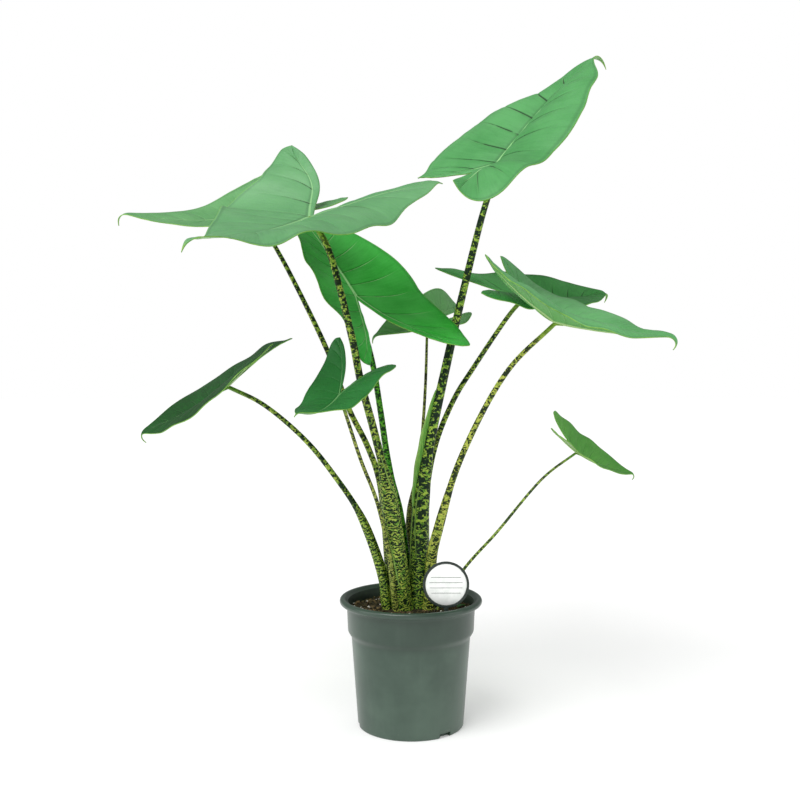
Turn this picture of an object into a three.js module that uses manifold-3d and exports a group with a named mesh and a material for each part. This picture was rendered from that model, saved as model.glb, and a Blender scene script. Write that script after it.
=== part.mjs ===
// Potted zebrina alocasia: a nursery pot of soil, ten arrow-shaped leaves on banded stalks, and a tag.
// Millimetres, +Z up. The origin is the centre of the pot's base, on the floor. The plant's front is -Y.

import * as THREE from 'three';
import { mergeVertices } from 'three/addons/utils/BufferGeometryUtils.js';
import Module from 'manifold-3d';

const wasm = await Module();
wasm.setup();

const gap = 0.3; // between pieces that touch

// Pot, soil and rootstock
const pot = {
  height: 192,
  wall: 1.8,
  segments: 48,
  rimRadius: 106.3,
  rimRoll: 4.8,
  collarTopRadius: 95.8,
  collarBottomRadius: 94.2,
  collarBottom: 145,
  bodyTopRadius: 88.6,
  bodyTop: 132,
  baseRadius: 79,
  baseChamfer: 2.5,
};
const potBase = {
  floor: 2.4, // thickness
  channelRise: 5, // the drainage channel stands this much above the foot
  footRadius: 34,
  channelRadius: 66,
  slope: 2,
  drainHoles: 6,
  drainRadius: 6,
  drainCircle: 50,
};
const notch = { count: 3, width: 20, height: 6.5, firstAngle: -51.5 };
const soil = { level: 173, segments: 32, clearance: 0.6, mound: 4, moundRadius: 42, unevenness: 1.4 };
const corm = { x: 0, y: 2, z: 128, radius: 24, height: 44 };

// Tag: a white card in a dark round frame on a stake
const tag = {
  x: 50,
  y: -58,
  z: 223,
  radius: 33.5,
  rimWidth: 3.6,
  rimThickness: 2.2,
  cardThickness: 1.2,
  stakeWidth: 6.5,
  stakeFoot: 118,
  lean: 4,
  segments: 40,
};

const stalk = {
  shoulder: 0.05, // the share of its length over which the sheath closes in
  steps: 22,
  sides: 10,
  slender: 8, // a stalk with a foot radius below this has fewer sides
  slenderSides: 7,
};

// Blade: half of its flat outline, for a front lobe 1 long. u runs along the midrib to the tip and v
// across it. Each row is one side vein: where it leaves the rib, and where it meets the margin.
const veins = [
  { rib: [-0.6, 0.335], margin: [-0.66, 0.34], sinus: [-0.66, 0.34] },
  { rib: [-0.52, 0.285], margin: [-0.64, 0.415], sinus: [-0.585, 0.26] },
  { rib: [-0.42, 0.225], margin: [-0.55, 0.475], sinus: [-0.46, 0.185] },
  { rib: [-0.3, 0.155], margin: [-0.4, 0.505], sinus: [-0.31, 0.115] },
  { rib: [-0.17, 0.085], margin: [-0.2, 0.5], sinus: [-0.16, 0.055] },
  { rib: [0, 0], margin: [0, 0.475], sinus: [-0.03, 0] },
  { rib: [0.1, 0], margin: [0.2, 0.42] },
  { rib: [0.22, 0], margin: [0.38, 0.35] },
  { rib: [0.36, 0], margin: [0.55, 0.27] },
  { rib: [0.51, 0], margin: [0.7, 0.19] },
  { rib: [0.67, 0], margin: [0.83, 0.105] },
  { rib: [0.82, 0], margin: [0.93, 0.04] },
  { rib: [0.94, 0], margin: [1, 0.012] },
  { rib: [1.06, 0], margin: [1.06, 0] },
];
const junctionVein = 5; // the row at which the stalk meets the blade
const blade = {
  thickness: 1.2,
  keel: 1.8, // how far the ribs stand out below, at the stalk
  lobeLength: 0.66,
  tipStart: 0.9,
  tipLength: 0.16,
  curlWidth: 0.5,
  foldFade: 0.6, // the share of the fold that is gone at the tip
  foldFadeStart: 0.45,
  waveWidth: 0.45,
  wavesPerLobe: 2.2,
  rightWaveShift: 0.27,
  marginKnots: [-0.6, -0.33, -0.06, 0.2, 0.46, 0.72], // where along u a margin swells or lifts by itself
  knotSpread: 0.17,
  perVein: 1, // rows of facets between two veins
  across: 3, // facets from rib to margin
  acrossSinus: 1,
};

// Leaves, from the largest. `at` is where the stalk meets the blade, `size` the length of the front lobe.
// heading is the way the tip points, 0 along +X and 90 to the back. pitch lifts the tip, and roll the
// left side. droop bends the tip down along the blade, and tipCurl bends its last part. On each side fold
// lifts the half from the rib, curl bends it on towards the margin, and lobeDroop bends its back lobe
// down, all in degrees. swell widens a side and lift raises its margin near each of the knots. A route
// climbs from the rootstock to the blade. Its radii are at the foot, at the end of the sheath, just above
// the sheath and under the blade.
const leaves = {
  leaf_a: {
    at: [131, 38, 840], size: 271, heading: 32, pitch: 48.6, roll: -10.4, twist: -0.9, droop: 8.9,
    tipCurl: 110, belly: 0.12, phase: 0.04,
    left: {
      fold: 37.8, curl: -37.4, lobeDroop: -76.5, width: 1.14, lobe: 0.55, wave: 0.01,
      swell: [-0.17, -0.01, -0.02, -0.13, 0.37, 0.05],
      lift: [-0.01, 0.02, 0.03, 0.02, -0.01, -0.23],
    },
    right: {
      fold: 18.2, curl: -44.7, lobeDroop: -87, width: 1.04, lobe: 0.72, wave: -0.02,
      swell: [-0.16, 0.09, -0.07, 0.03, 0.01, 0.18],
      lift: [-0.2, 0, -0.03, -0.07, -0.07, -0.19],
    },
    route: [
      [6, 2, 146], [11, 3, 177], [14, 14, 305], [24, 28, 394], [60, 62, 560], [72, 70, 612],
      [103, 60, 742], [115, 50, 786],
    ],
    radius: { foot: 17, sheath: 12, neck: 8, top: 4.2 }, sheathEnd: 0.29,
  },
  leaf_b: {
    at: [-144, -48, 750], size: 255, heading: 236.9, pitch: -19.6, roll: 4.2, twist: 1.6, droop: -17.2,
    tipCurl: 60, belly: -0.1, phase: 0.27,
    left: {
      fold: 1.2, curl: -61.6, lobeDroop: -4.5, width: 1.14, lobe: 1.13, wave: 0.02,
      swell: [0.25, -0.22, -0.25, -0.11, 0.04, 0.1],
      lift: [0.17, 0.07, 0.02, 0.07, 0.11, -0.11],
    },
    right: {
      fold: 13.1, curl: 1.2, lobeDroop: -60.2, width: 1.16, lobe: 1.04, wave: 0,
      swell: [0.01, -0.17, 0.17, 0.02, 0.07, -0.08],
      lift: [-0.05, 0.05, -0.02, 0.04, -0.01, -0.1],
    },
    route: [
      [-6, -6, 146], [-12, -9, 180], [-27, -22, 311], [-37, -35, 372], [-54, -53, 446], [-72, -77, 518],
      [-81, -90, 568], [-90, -89, 606], [-100, -80, 645], [-120, -60, 709],
    ],
    radius: { foot: 17, sheath: 12.8, neck: 5.9, top: 4.2 }, sheathEnd: 0.33,
  },
  leaf_c: {
    at: [-244, 115, 772], size: 215, heading: 179.6, pitch: -10.6, roll: -25.4, twist: 9.6, droop: -24.9,
    tipCurl: 110, belly: -0.18, phase: 0.15,
    left: {
      fold: 4.1, curl: 9.2, lobeDroop: -13.9, width: 1.01, lobe: 1.08, wave: 0.01,
      lift: [0.03, 0.02, 0, 0.04, -0.03, 0],
    },
    right: {
      fold: -0.9, curl: 31.6, lobeDroop: 3.1, width: 1.09, lobe: 0.55, wave: 0.01,
      swell: [0.07, 0, -0.01, 0.01, -0.04, -0.01],
      lift: [0.06, 0, -0.02, 0.02, -0.05, -0.02],
    },
    route: [
      [-14, 10, 146], [-25, 13, 180], [-43, 25, 349], [-65, 35, 413], [-94, 45, 470], [-123, 60, 548],
      [-182, 88, 668], [-211, 102, 720],
    ],
    radius: { foot: 9, sheath: 7.5, neck: 4.6, top: 3.1 }, sheathEnd: 0.28,
  },
  leaf_d: {
    at: [-84, 45, 642], size: 238, heading: 127.3, pitch: 43.6, roll: 0, twist: -6.9, droop: 6,
    tipCurl: 60, belly: 0.12, phase: 0.08,
    left: {
      fold: 19, curl: -3.2, lobeDroop: 14.5, width: 0.69, lobe: 0.94, wave: 0.03,
      swell: [0.02, -0.04, 0.03, 0.02, -0.04, -0.01],
      lift: [-0.01, 0.01, -0.04, -0.01, 0.01, 0],
    },
    right: {
      fold: 10.1, curl: -1.2, lobeDroop: -29.1, width: 1.02, lobe: 1.13, wave: 0,
      swell: [-0.02, 0.03, -0.03, -0.01, 0, -0.01],
      lift: [-0.02, 0, 0, 0.01, 0, -0.01],
    },
    route: [
      [-2, 14, 146], [-4, 15, 174], [-13, 24, 273], [-26, 30, 348], [-36, 33, 401], [-46, 38, 469],
      [-59, 44, 545],
    ],
    radius: { foot: 10, sheath: 9, neck: 5, top: 4 }, sheathEnd: 0.36,
  },
  leaf_e: {
    at: [178, 113, 641], size: 190, heading: 37.8, pitch: -3.3, roll: 25.1, twist: 8.4, droop: -17.9,
    tipCurl: 120, belly: 0.1, phase: 0.13,
    left: {
      fold: 15.1, curl: -18, lobeDroop: -5, width: 0.94, lobe: 1.09, wave: 0.01,
      swell: [-0.03, -0.03, -0.05, 0.01, 0.01, 0.03],
      lift: [0, -0.02, -0.01, 0.01, 0.01, 0.01],
    },
    right: {
      fold: 38.2, curl: -49.5, lobeDroop: 4.3, width: 0.98, lobe: 1.11, wave: 0.01,
      swell: [-0.02, 0, 0, 0, 0.01, 0],
      lift: [-0.03, -0.04, 0.03, 0, -0.01, 0],
    },
    route: [
      [12, 20, 146], [20, 25, 180], [23, 38, 331], [39, 56, 417], [69, 72, 487], [96, 84, 529],
      [158, 106, 618],
    ],
    radius: { foot: 9, sheath: 7, neck: 4.6, top: 3.3 }, sheathEnd: 0.3,
  },
  leaf_f: {
    at: [200, -84, 600], size: 176, heading: -27.5, pitch: -13.4, roll: 7.2, twist: 15.7, droop: -13.6,
    tipCurl: 130, belly: 0.1, phase: 0.7,
    left: {
      fold: 19.6, curl: -38.5, lobeDroop: -44.1, width: 1.14, lobe: 1.26, wave: 0.005,
      swell: [-0.08, 0.28, 0.18, -0.15, -0.02, -0.16],
      lift: [0.08, 0.07, 0.07, 0.05, 0, -0.23],
    },
    right: {
      fold: 46.3, curl: -32, lobeDroop: -19.3, width: 1.35, lobe: 0.96, wave: 0.01,
      swell: [0.1, 0.11, 0.24, -0.25, -0.03, -0.02],
      lift: [0.03, 0, 0.03, -0.07, -0.09, -0.15],
    },
    route: [
      [18, -8, 146], [27, -10, 180], [31, -15, 256], [40, -19, 296], [71, -35, 401], [137, -65, 532],
    ],
    radius: { foot: 10, sheath: 6.8, neck: 4.9, top: 3 }, sheathEnd: 0.36,
  },
  leaf_g: {
    at: [-269, -14, 508], size: 162, heading: 165.4, pitch: -34.1, roll: -18.1, twist: -19.7, droop: -14.6,
    tipCurl: 120, belly: 0.07, phase: 0,
    left: {
      fold: 20.4, curl: -28.5, lobeDroop: 4.9, width: 1.07, lobe: 1.02, wave: 0.01,
      swell: [-0.04, 0.08, 0.01, -0.03, 0.01, 0.02],
      lift: [-0.02, -0.01, 0, -0.02, 0, -0.04],
    },
    right: {
      fold: 10.9, curl: -8.6, lobeDroop: -2.2, width: 1.01, lobe: 0.98, wave: 0.01,
      swell: [0, -0.01, 0, -0.01, -0.01, 0.02],
      lift: [-0.01, 0.04, 0, 0, -0.05, 0.02],
    },
    route: [
      [-22, -4, 146], [-35, -5, 180], [-40, -5, 218], [-73, -7, 312], [-114, -9, 376], [-156, -11, 428],
      [-218, -13, 481],
    ],
    radius: { foot: 9.5, sheath: 6.6, neck: 4.3, top: 2.9 }, sheathEnd: 0.36,
  },
  leaf_h: {
    at: [-100, -110, 499], size: 110, heading: 239.3, pitch: -33.9, roll: -5.1, twist: 1.5, droop: -49.8,
    tipCurl: 60, belly: 0.2, phase: 0.8,
    left: {
      fold: 20.2, curl: -18, lobeDroop: 16.2, width: 1, lobe: 1.22, wave: 0.01,
      lift: [-0.01, 0.04, 0.01, 0, -0.04, 0],
    },
    right: {
      fold: 2.8, curl: -11.1, lobeDroop: -31.1, width: 0.98, lobe: 1.33, wave: 0.01,
      swell: [0, -0.05, 0.03, -0.03, 0, 0],
      lift: [0, 0, 0.03, -0.02, 0, 0],
    },
    route: [
      [-12, -16, 146], [-22, -22, 180], [-31, -29, 253], [-49, -48, 340], [-72, -71, 405],
      [-93, -100, 476],
    ],
    radius: { foot: 5.5, sheath: 4.2, neck: 3, top: 2.4 }, sheathEnd: 0.3,
  },
  leaf_i: {
    at: [247, 4, 409], size: 98, heading: 11, pitch: -35, roll: 19, twist: 3, droop: -30,
    tipCurl: 120, belly: 0.1, phase: 0.75,
    left: { fold: 26, curl: -9, lobeDroop: -18, width: 1.03, lobe: 0.95, wave: 0.01 },
    right: { fold: 15, curl: -3, lobeDroop: -6, width: 1, lobe: 1.03, wave: 0.01 },
    route: [[24, -6, 146], [42, -14, 180], [80, -12, 238], [126, -9, 289], [198, -1, 372]],
    radius: { foot: 3.6, sheath: 2.8, neck: 2.3, top: 1.8 }, sheathEnd: 0.2,
  },
  leaf_j: {
    at: [27, 130, 599], size: 116, heading: 220.8, pitch: -12.8, roll: -10.7, twist: 8.1, droop: -7.9,
    tipCurl: 100, belly: 0.1, phase: 0.3,
    left: {
      fold: 11.5, curl: -7.1, lobeDroop: -25.7, width: 0.98, lobe: 0.78, wave: 0.01,
      swell: [-0.02, 0, 0, 0, 0.01, 0],
      lift: [0.02, 0, 0, 0, -0.02, -0.01],
    },
    right: {
      fold: 21.6, curl: 21.8, lobeDroop: 22.5, width: 1.01, lobe: 1.3, wave: 0.01,
      swell: [0.1, -0.01, -0.03, 0, -0.04, -0.07],
      lift: [0, 0.1, -0.02, 0, -0.02, -0.02],
    },
    route: [
      [2, 26, 146], [2, 32, 180], [-1, 42, 290], [5, 46, 345], [14, 61, 390], [20, 78, 451],
      [24, 99, 512],
    ],
    radius: { foot: 7, sheath: 6.6, neck: 2.8, top: 2 }, sheathEnd: 0.38,
  },
};

// The papery sheath wing that stands along the left of the largest stalk
const wing = { from: 0.25, to: 0.5, least: 2, width: 8, thickness: 1.2, side: 205, wave: 1.2, steps: 12 };

const colours = {
  pot: 0x4f6158, soil: 0x2e2018, corm: 0x5b4028, blade: 0x3f8a55, stalk: 0x7d9440, wing: 0x9fc65a,
  tagFrame: 0x23302e, tagCard: 0xf3f5f2,
};

function finish(colour, roughness) {
  return new THREE.MeshStandardMaterial({ color: colour, roughness, metalness: 0 });
}

// Solids and cuts

function solidOf(geometry) {
  const bare = geometry.clone();
  bare.deleteAttribute('normal');
  bare.deleteAttribute('uv');
  const merged = mergeVertices(bare, 1e-4);
  const vertProperties = new Float32Array(merged.getAttribute('position').array);
  const triVerts = new Uint32Array(merged.getIndex().array);
  return new wasm.Manifold(new wasm.Mesh({ numProp: 3, vertProperties, triVerts }));
}

function geometryOf(solid) {
  const pieces = solid.decompose().sort((a, b) => b.volume() - a.volume());
  const mesh = pieces[0].getMesh();
  const geometry = new THREE.BufferGeometry();
  geometry.setAttribute('position', new THREE.BufferAttribute(new Float32Array(mesh.vertProperties), 3));
  geometry.setIndex(new THREE.BufferAttribute(new Uint32Array(mesh.triVerts), 1));
  geometry.computeVertexNormals();
  return geometry;
}

function closedGeometry(points, triangles) {
  const geometry = new THREE.BufferGeometry().setFromPoints(points);
  geometry.setIndex(triangles.flat());
  geometry.computeVertexNormals();
  return geometry;
}

// Pot

function potWallRadius(z) {
  if (z > pot.collarBottom) {
    const rise = (z - pot.collarBottom) / (pot.height - 2 * pot.rimRoll - pot.collarBottom);
    return THREE.MathUtils.lerp(pot.collarBottomRadius, pot.collarTopRadius, Math.min(rise, 1));
  }
  if (z > pot.bodyTop) {
    const rise = (z - pot.bodyTop) / (pot.collarBottom - pot.bodyTop);
    return THREE.MathUtils.lerp(pot.bodyTopRadius, pot.collarBottomRadius, rise);
  }
  return THREE.MathUtils.lerp(pot.baseRadius, pot.bodyTopRadius, z / pot.bodyTop);
}

function potSolid() {
  const { footRadius, channelRadius, channelRise, slope, floor } = potBase;
  const inside = (z) => potWallRadius(z) - pot.wall;
  const rollCentre = new THREE.Vector2(pot.rimRadius - pot.rimRoll, pot.height - pot.rimRoll);
  const profile = [
    [0, 0],
    [footRadius, 0],
    [footRadius + slope, channelRise],
    [channelRadius, channelRise],
    [channelRadius + slope, 0],
    [pot.baseRadius - pot.baseChamfer, 0],
    [potWallRadius(pot.baseChamfer), pot.baseChamfer],
    [pot.bodyTopRadius, pot.bodyTop],
    [pot.collarBottomRadius, pot.collarBottom],
    [potWallRadius(pot.height), pot.height - 2 * pot.rimRoll],
  ].map(([r, z]) => new THREE.Vector2(r, z));
  for (const angle of [-80, -35, 10, 50, 90, 135]) {
    const turn = THREE.MathUtils.degToRad(angle);
    const spoke = new THREE.Vector2(Math.cos(turn), Math.sin(turn));
    profile.push(spoke.multiplyScalar(pot.rimRoll).add(rollCentre));
  }
  const innerWall = [
    [inside(pot.height) - 0.2, pot.height - pot.rimRoll],
    [inside(pot.collarBottom), pot.collarBottom],
    [inside(pot.bodyTop), pot.bodyTop],
    [inside(floor), floor],
    [channelRadius + slope + floor, floor],
    [channelRadius + floor, channelRise + floor],
    [footRadius - floor, channelRise + floor],
    [footRadius - floor - slope, floor],
    [0, floor],
  ];
  profile.push(...innerWall.map(([r, z]) => new THREE.Vector2(r, z)));
  const body = new THREE.LatheGeometry(profile, pot.segments).rotateX(Math.PI / 2);
  return solidOf(body).subtract(drainCuts()).subtract(notchCuts());
}

function drainCuts() {
  const height = 4 * potBase.channelRise;
  const cuts = [];
  for (let i = 0; i < potBase.drainHoles; i += 1) {
    const turn = ((i + 0.5) / potBase.drainHoles) * 2 * Math.PI;
    const hole = new THREE.CylinderGeometry(potBase.drainRadius, potBase.drainRadius, height, 12);
    hole.rotateX(Math.PI / 2).translate(potBase.drainCircle, 0, height / 2 - 1).rotateZ(turn);
    cuts.push(solidOf(hole));
  }
  return wasm.Manifold.union(cuts);
}

function notchCuts() {
  const depth = 3 * pot.wall + potBase.slope;
  const cuts = [];
  for (let i = 0; i < notch.count; i += 1) {
    const cut = new THREE.BoxGeometry(2 * depth, notch.width, 2 * notch.height);
    cut.translate(pot.baseRadius, 0, 0);
    cut.rotateZ(THREE.MathUtils.degToRad(notch.firstAngle + (i * 360) / notch.count));
    cuts.push(solidOf(cut));
  }
  return wasm.Manifold.union(cuts);
}

// Soil and rootstock

function soilHeight(x, y) {
  const radius = Math.hypot(x, y);
  const mound = soil.mound * Math.exp(-((radius / soil.moundRadius) ** 2));
  const lumps = Math.sin(x * 0.11 + 0.6) * Math.cos(y * 0.13 - 0.4);
  const slopes = 0.5 * Math.sin(x * 0.07 - y * 0.19);
  return soil.level + mound + soil.unevenness * (lumps + slopes);
}

function soilSolid() {
  const bottom = potBase.channelRise + potBase.floor + gap;
  const inside = (z) => potWallRadius(z) - pot.wall - soil.clearance;
  const profile = [
    [0, bottom],
    [potBase.footRadius, bottom],
    [inside(bottom) - 1, bottom],
    [inside(pot.bodyTop) - 0.2, pot.bodyTop],
    [inside(pot.collarBottom), pot.collarBottom],
    [inside(soil.level) - 0.2, soil.level],
    [78, soil.level],
    [62, soil.level],
    [46, soil.level],
    [28, soil.level],
    [0, soil.level],
  ].map(([r, z]) => new THREE.Vector2(r, z));
  const body = new THREE.LatheGeometry(profile, soil.segments).rotateX(Math.PI / 2);
  const position = body.getAttribute('position');
  for (let i = 0; i < position.count; i += 1) {
    const [x, y, z] = [position.getX(i), position.getY(i), position.getZ(i)];
    if (z > soil.level - 1) {
      position.setZ(i, soilHeight(x, y));
    }
  }
  return solidOf(body);
}

function cormGeometry(growth) {
  const body = new THREE.SphereGeometry(1, 16, 10).rotateX(Math.PI / 2);
  body.scale(corm.radius + growth, corm.radius + growth, corm.height / 2 + growth);
  return body.translate(corm.x, corm.y, corm.z);
}

// Stalks

function stalkRadius(leaf, along) {
  const { foot, sheath, neck, top } = leaf.radius;
  const sheathEnd = leaf.sheathEnd;
  const neckStart = sheathEnd + stalk.shoulder;
  if (along < sheathEnd) {
    return THREE.MathUtils.lerp(foot, sheath, along / sheathEnd);
  }
  if (along < neckStart) {
    return THREE.MathUtils.lerp(sheath, neck, THREE.MathUtils.smoothstep(along, sheathEnd, neckStart));
  }
  return THREE.MathUtils.lerp(neck, top, (along - neckStart) / (1 - neckStart));
}

function stalkCurve(leaf) {
  const reach = blade.thickness / 2 + blade.keel + gap;
  const below = bladeBend(leaf)(0, 0).addScaledVector(bladeAxes(leaf).up, -reach);
  const points = leaf.route.map(([x, y, z]) => new THREE.Vector3(x, y, z));
  return new THREE.CatmullRomCurve3([...points, below], false, 'centripetal');
}

function tubeAlong(curve, radiusAt, sides, steps, growth) {
  const frames = curve.computeFrenetFrames(steps, false);
  const points = [];
  const triangles = [];
  const outward = 1 / Math.cos(Math.PI / sides);
  for (let i = 0; i <= steps; i += 1) {
    const centre = curve.getPointAt(i / steps);
    if (i === 0) {
      centre.addScaledVector(frames.tangents[i], -growth);
    }
    const radius = radiusAt(i / steps) + growth * outward;
    for (let j = 0; j < sides; j += 1) {
      const turn = (j / sides) * 2 * Math.PI;
      const point = centre.clone().addScaledVector(frames.normals[i], radius * Math.cos(turn));
      points.push(point.addScaledVector(frames.binormals[i], radius * Math.sin(turn)));
    }
  }
  for (let i = 0; i < steps; i += 1) {
    for (let j = 0; j < sides; j += 1) {
      const [a, b] = [i * sides + j, i * sides + ((j + 1) % sides)];
      triangles.push([a, b, b + sides], [a, b + sides, a + sides]);
    }
  }
  for (let j = 1; j < sides - 1; j += 1) {
    const last = steps * sides;
    triangles.push([0, j + 1, j], [last, last + j, last + j + 1]);
  }
  return closedGeometry(points, triangles);
}

function stalkGeometry(leaf, growth) {
  const sides = leaf.radius.foot > stalk.slender ? stalk.sides : stalk.slenderSides;
  return tubeAlong(stalkCurve(leaf), (along) => stalkRadius(leaf, along), sides, stalk.steps, growth);
}

// Blades

function bladeAxes(leaf) {
  const [heading, pitch, roll] = [leaf.heading, leaf.pitch, leaf.roll].map(THREE.MathUtils.degToRad);
  const forward = new THREE.Vector3(
    Math.cos(heading) * Math.cos(pitch),
    Math.sin(heading) * Math.cos(pitch),
    Math.sin(pitch),
  );
  const level = new THREE.Vector3(-Math.sin(heading), Math.cos(heading), 0);
  const level90 = new THREE.Vector3().crossVectors(forward, level);
  const left = level.clone().multiplyScalar(Math.cos(roll)).addScaledVector(level90, Math.sin(roll));
  return { forward, left, up: new THREE.Vector3().crossVectors(forward, left) };
}

// Slope of the midrib line at u: droop and tip curl to the front, lobeDroop to the back
function ribSlope(leaf, side, u) {
  const lobe = (THREE.MathUtils.degToRad(side.lobeDroop) * Math.max(-u, 0)) / blade.lobeLength;
  const front = -THREE.MathUtils.degToRad(leaf.droop) * Math.max(u, 0);
  const tip = THREE.MathUtils.smoothstep(u, blade.tipStart, blade.tipStart + blade.tipLength);
  return lobe + front - THREE.MathUtils.degToRad(leaf.tipCurl) * tip;
}

// Points of the bent midrib line, found by walking from the stalk in small steps
function ribLine(leaf, side) {
  const step = 0.01;
  const reach = 1.1;
  const walk = (direction) => {
    const line = [[0, 0]];
    for (let u = 0; u < reach; u += step) {
      const slope = ribSlope(leaf, side, direction * (u + step / 2));
      const [x, z] = line[line.length - 1];
      line.push([x + direction * step * Math.cos(slope), z + direction * step * Math.sin(slope)]);
    }
    return line;
  };
  const [ahead, behind] = [walk(1), walk(-1)];
  return (u) => {
    const line = u >= 0 ? ahead : behind;
    const place = Math.abs(u) / step;
    const i = Math.min(Math.floor(place), line.length - 2);
    const rest = place - i;
    return [0, 1].map((k) => THREE.MathUtils.lerp(line[i][k], line[i + 1][k], rest));
  };
}

// How much of its own swell or lift a margin has at u, from the amounts at the knots
function marginAmount(amounts, u) {
  const near = (knot) => Math.exp(-(((u - knot) / blade.knotSpread) ** 2));
  return (amounts ?? []).reduce((sum, amount, k) => sum + amount * near(blade.marginKnots[k]), 0);
}

// The function that takes a flat point (u, v) of the blade to its place in the part
function bladeBend(leaf) {
  const lines = { left: ribLine(leaf, leaf.left), right: ribLine(leaf, leaf.right) };
  const axes = bladeAxes(leaf);
  return (flatU, flatV) => {
    const side = flatV >= 0 ? leaf.left : leaf.right;
    const sign = flatV >= 0 ? 1 : -1;
    const u = flatU < 0 ? flatU * side.lobe : flatU;
    const belly = 1 + leaf.belly * Math.sin(Math.PI * THREE.MathUtils.clamp(u, 0, 1));
    const v = Math.abs(flatV) * side.width * belly * (1 + marginAmount(side.swell, flatU));
    const fade = 1 - blade.foldFade * THREE.MathUtils.smoothstep(u, blade.foldFadeStart, 1);
    const fold = THREE.MathUtils.degToRad(side.fold) * fade;
    const curl = THREE.MathUtils.degToRad(side.curl) / blade.curlWidth;
    const across = (Math.sin(fold + curl * v) - Math.sin(fold)) / curl;
    const shift = leaf.phase + (sign < 0 ? blade.rightWaveShift : 0);
    const ripple = side.wave * Math.sin(2 * Math.PI * (blade.wavesPerLobe * u + shift));
    const wave = (ripple + marginAmount(side.lift, flatU)) * (v / blade.waveWidth) ** 2;
    const lift = (Math.cos(fold) - Math.cos(fold + curl * v)) / curl + wave;
    const twist = THREE.MathUtils.degToRad(leaf.twist) * u;
    const y = sign * across * Math.cos(twist) - lift * Math.sin(twist);
    const z = sign * across * Math.sin(twist) + lift * Math.cos(twist);
    const slope = ribSlope(leaf, side, u);
    const [ribX, ribZ] = (sign > 0 ? lines.left : lines.right)(u);
    return new THREE.Vector3(...leaf.at)
      .addScaledVector(axes.forward, leaf.size * (ribX - z * Math.sin(slope)))
      .addScaledVector(axes.left, leaf.size * y)
      .addScaledVector(axes.up, leaf.size * (ribZ + z * Math.cos(slope)));
  };
}

// A point of the outline between the rows of veins, by a smooth curve for a margin or straight for a rib
function alongVeins(kind, place) {
  const last = kind === 'sinus' ? junctionVein : veins.length - 1;
  const i = Math.min(Math.floor(place), last - 1);
  const t = place - i;
  const point = (k) => veins[THREE.MathUtils.clamp(k, 0, last)][kind];
  if (kind === 'rib') {
    return [0, 1].map((k) => THREE.MathUtils.lerp(point(i)[k], point(i + 1)[k], t));
  }
  return [0, 1].map((k) => {
    const [a, b, c, d] = [point(i - 1)[k], point(i)[k], point(i + 1)[k], point(i + 2)[k]];
    const curve = (2 * a - 5 * b + 4 * c - d) * t ** 2 + (3 * b - a - 3 * c + d) * t ** 3;
    return 0.5 * (2 * b + (c - a) * t + curve);
  });
}

// The flat net of the whole blade: its points, its triangles seen from above, and its rim in order
function bladeNet() {
  const { perVein, across, acrossSinus } = blade;
  const points = [];
  const triangles = [];
  const index = new Map();
  const add = (name, u, v, rib) => {
    if (!index.has(name)) {
      index.set(name, points.length);
      points.push({ u, v, rib });
    }
    return index.get(name);
  };
  const rows = (veins.length - 1) * perVein;
  const junctionRow = junctionVein * perVein;
  const node = (side, kind, row, j, width) => {
    const rib = alongVeins('rib', row / perVein);
    const onMidrib = row >= junctionRow;
    const edge = alongVeins(kind, row / perVein);
    const lobeTip = row === 0 && j > 0;
    const t = lobeTip ? 1 : j / width;
    const middle = (j === 0 && onMidrib) || row === rows || (kind === 'sinus' && row === junctionRow);
    const where = middle ? 'middle' : side;
    const column = row === rows || j === 0 ? 'rib' : `${kind}${j}`;
    const u = THREE.MathUtils.lerp(rib[0], edge[0], t);
    const v = THREE.MathUtils.lerp(rib[1], edge[1], t);
    return add(`${where} ${row} ${lobeTip ? 'tip' : column}`, u, side * v, 1 - t);
  };
  const addQuad = (side, a, b, c, d) => {
    for (const [p, q, r] of [[a, b, c], [a, c, d]]) {
      if (p !== q && q !== r && p !== r) {
        triangles.push(side > 0 ? [p, q, r] : [p, r, q]);
      }
    }
  };
  for (const side of [1, -1]) {
    for (let row = 0; row < rows; row += 1) {
      for (let j = 0; j < across; j += 1) {
        const corner = (dr, dj) => node(side, 'margin', row + dr, j + dj, across);
        addQuad(side, corner(0, 0), corner(1, 0), corner(1, 1), corner(0, 1));
      }
    }
    for (let row = 0; row < junctionRow; row += 1) {
      for (let j = 0; j < acrossSinus; j += 1) {
        const corner = (dr, dj) => node(side, 'sinus', row + dr, j + dj, acrossSinus);
        addQuad(side, corner(0, 0), corner(0, 1), corner(1, 1), corner(1, 0));
      }
    }
  }
  return { points, triangles };
}

// Both faces of the blade with the same triangles, joined round the rim
function bladeGeometry(leaf, growth) {
  const net = bladeNet();
  const bend = bladeBend(leaf);
  const middle = net.points.map(({ u, v }) => bend(u, v));
  const normals = closedGeometry(middle, net.triangles).getAttribute('normal');
  const points = [];
  net.points.forEach(({ u, rib }, i) => {
    const up = new THREE.Vector3().fromBufferAttribute(normals, i);
    points.push(middle[i].clone().addScaledVector(up, blade.thickness / 2 + growth));
    const keel = blade.keel * Math.max(1 - Math.abs(u), 0) * (rib === 1 ? 1 : 0);
    points.push(middle[i].clone().addScaledVector(up, -(blade.thickness / 2 + keel + growth)));
  });
  const triangles = [];
  const edges = new Map();
  for (const [a, b, c] of net.triangles) {
    triangles.push([2 * a, 2 * b, 2 * c], [2 * a + 1, 2 * c + 1, 2 * b + 1]);
    for (const [p, q] of [[a, b], [b, c], [c, a]]) {
      if (!edges.delete(`${q} ${p}`)) {
        edges.set(`${p} ${q}`, [p, q]);
      }
    }
  }
  for (const [p, q] of edges.values()) {
    triangles.push([2 * p, 2 * p + 1, 2 * q + 1], [2 * p, 2 * q + 1, 2 * q]);
  }
  return closedGeometry(points, triangles);
}

// Sheath wing

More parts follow.
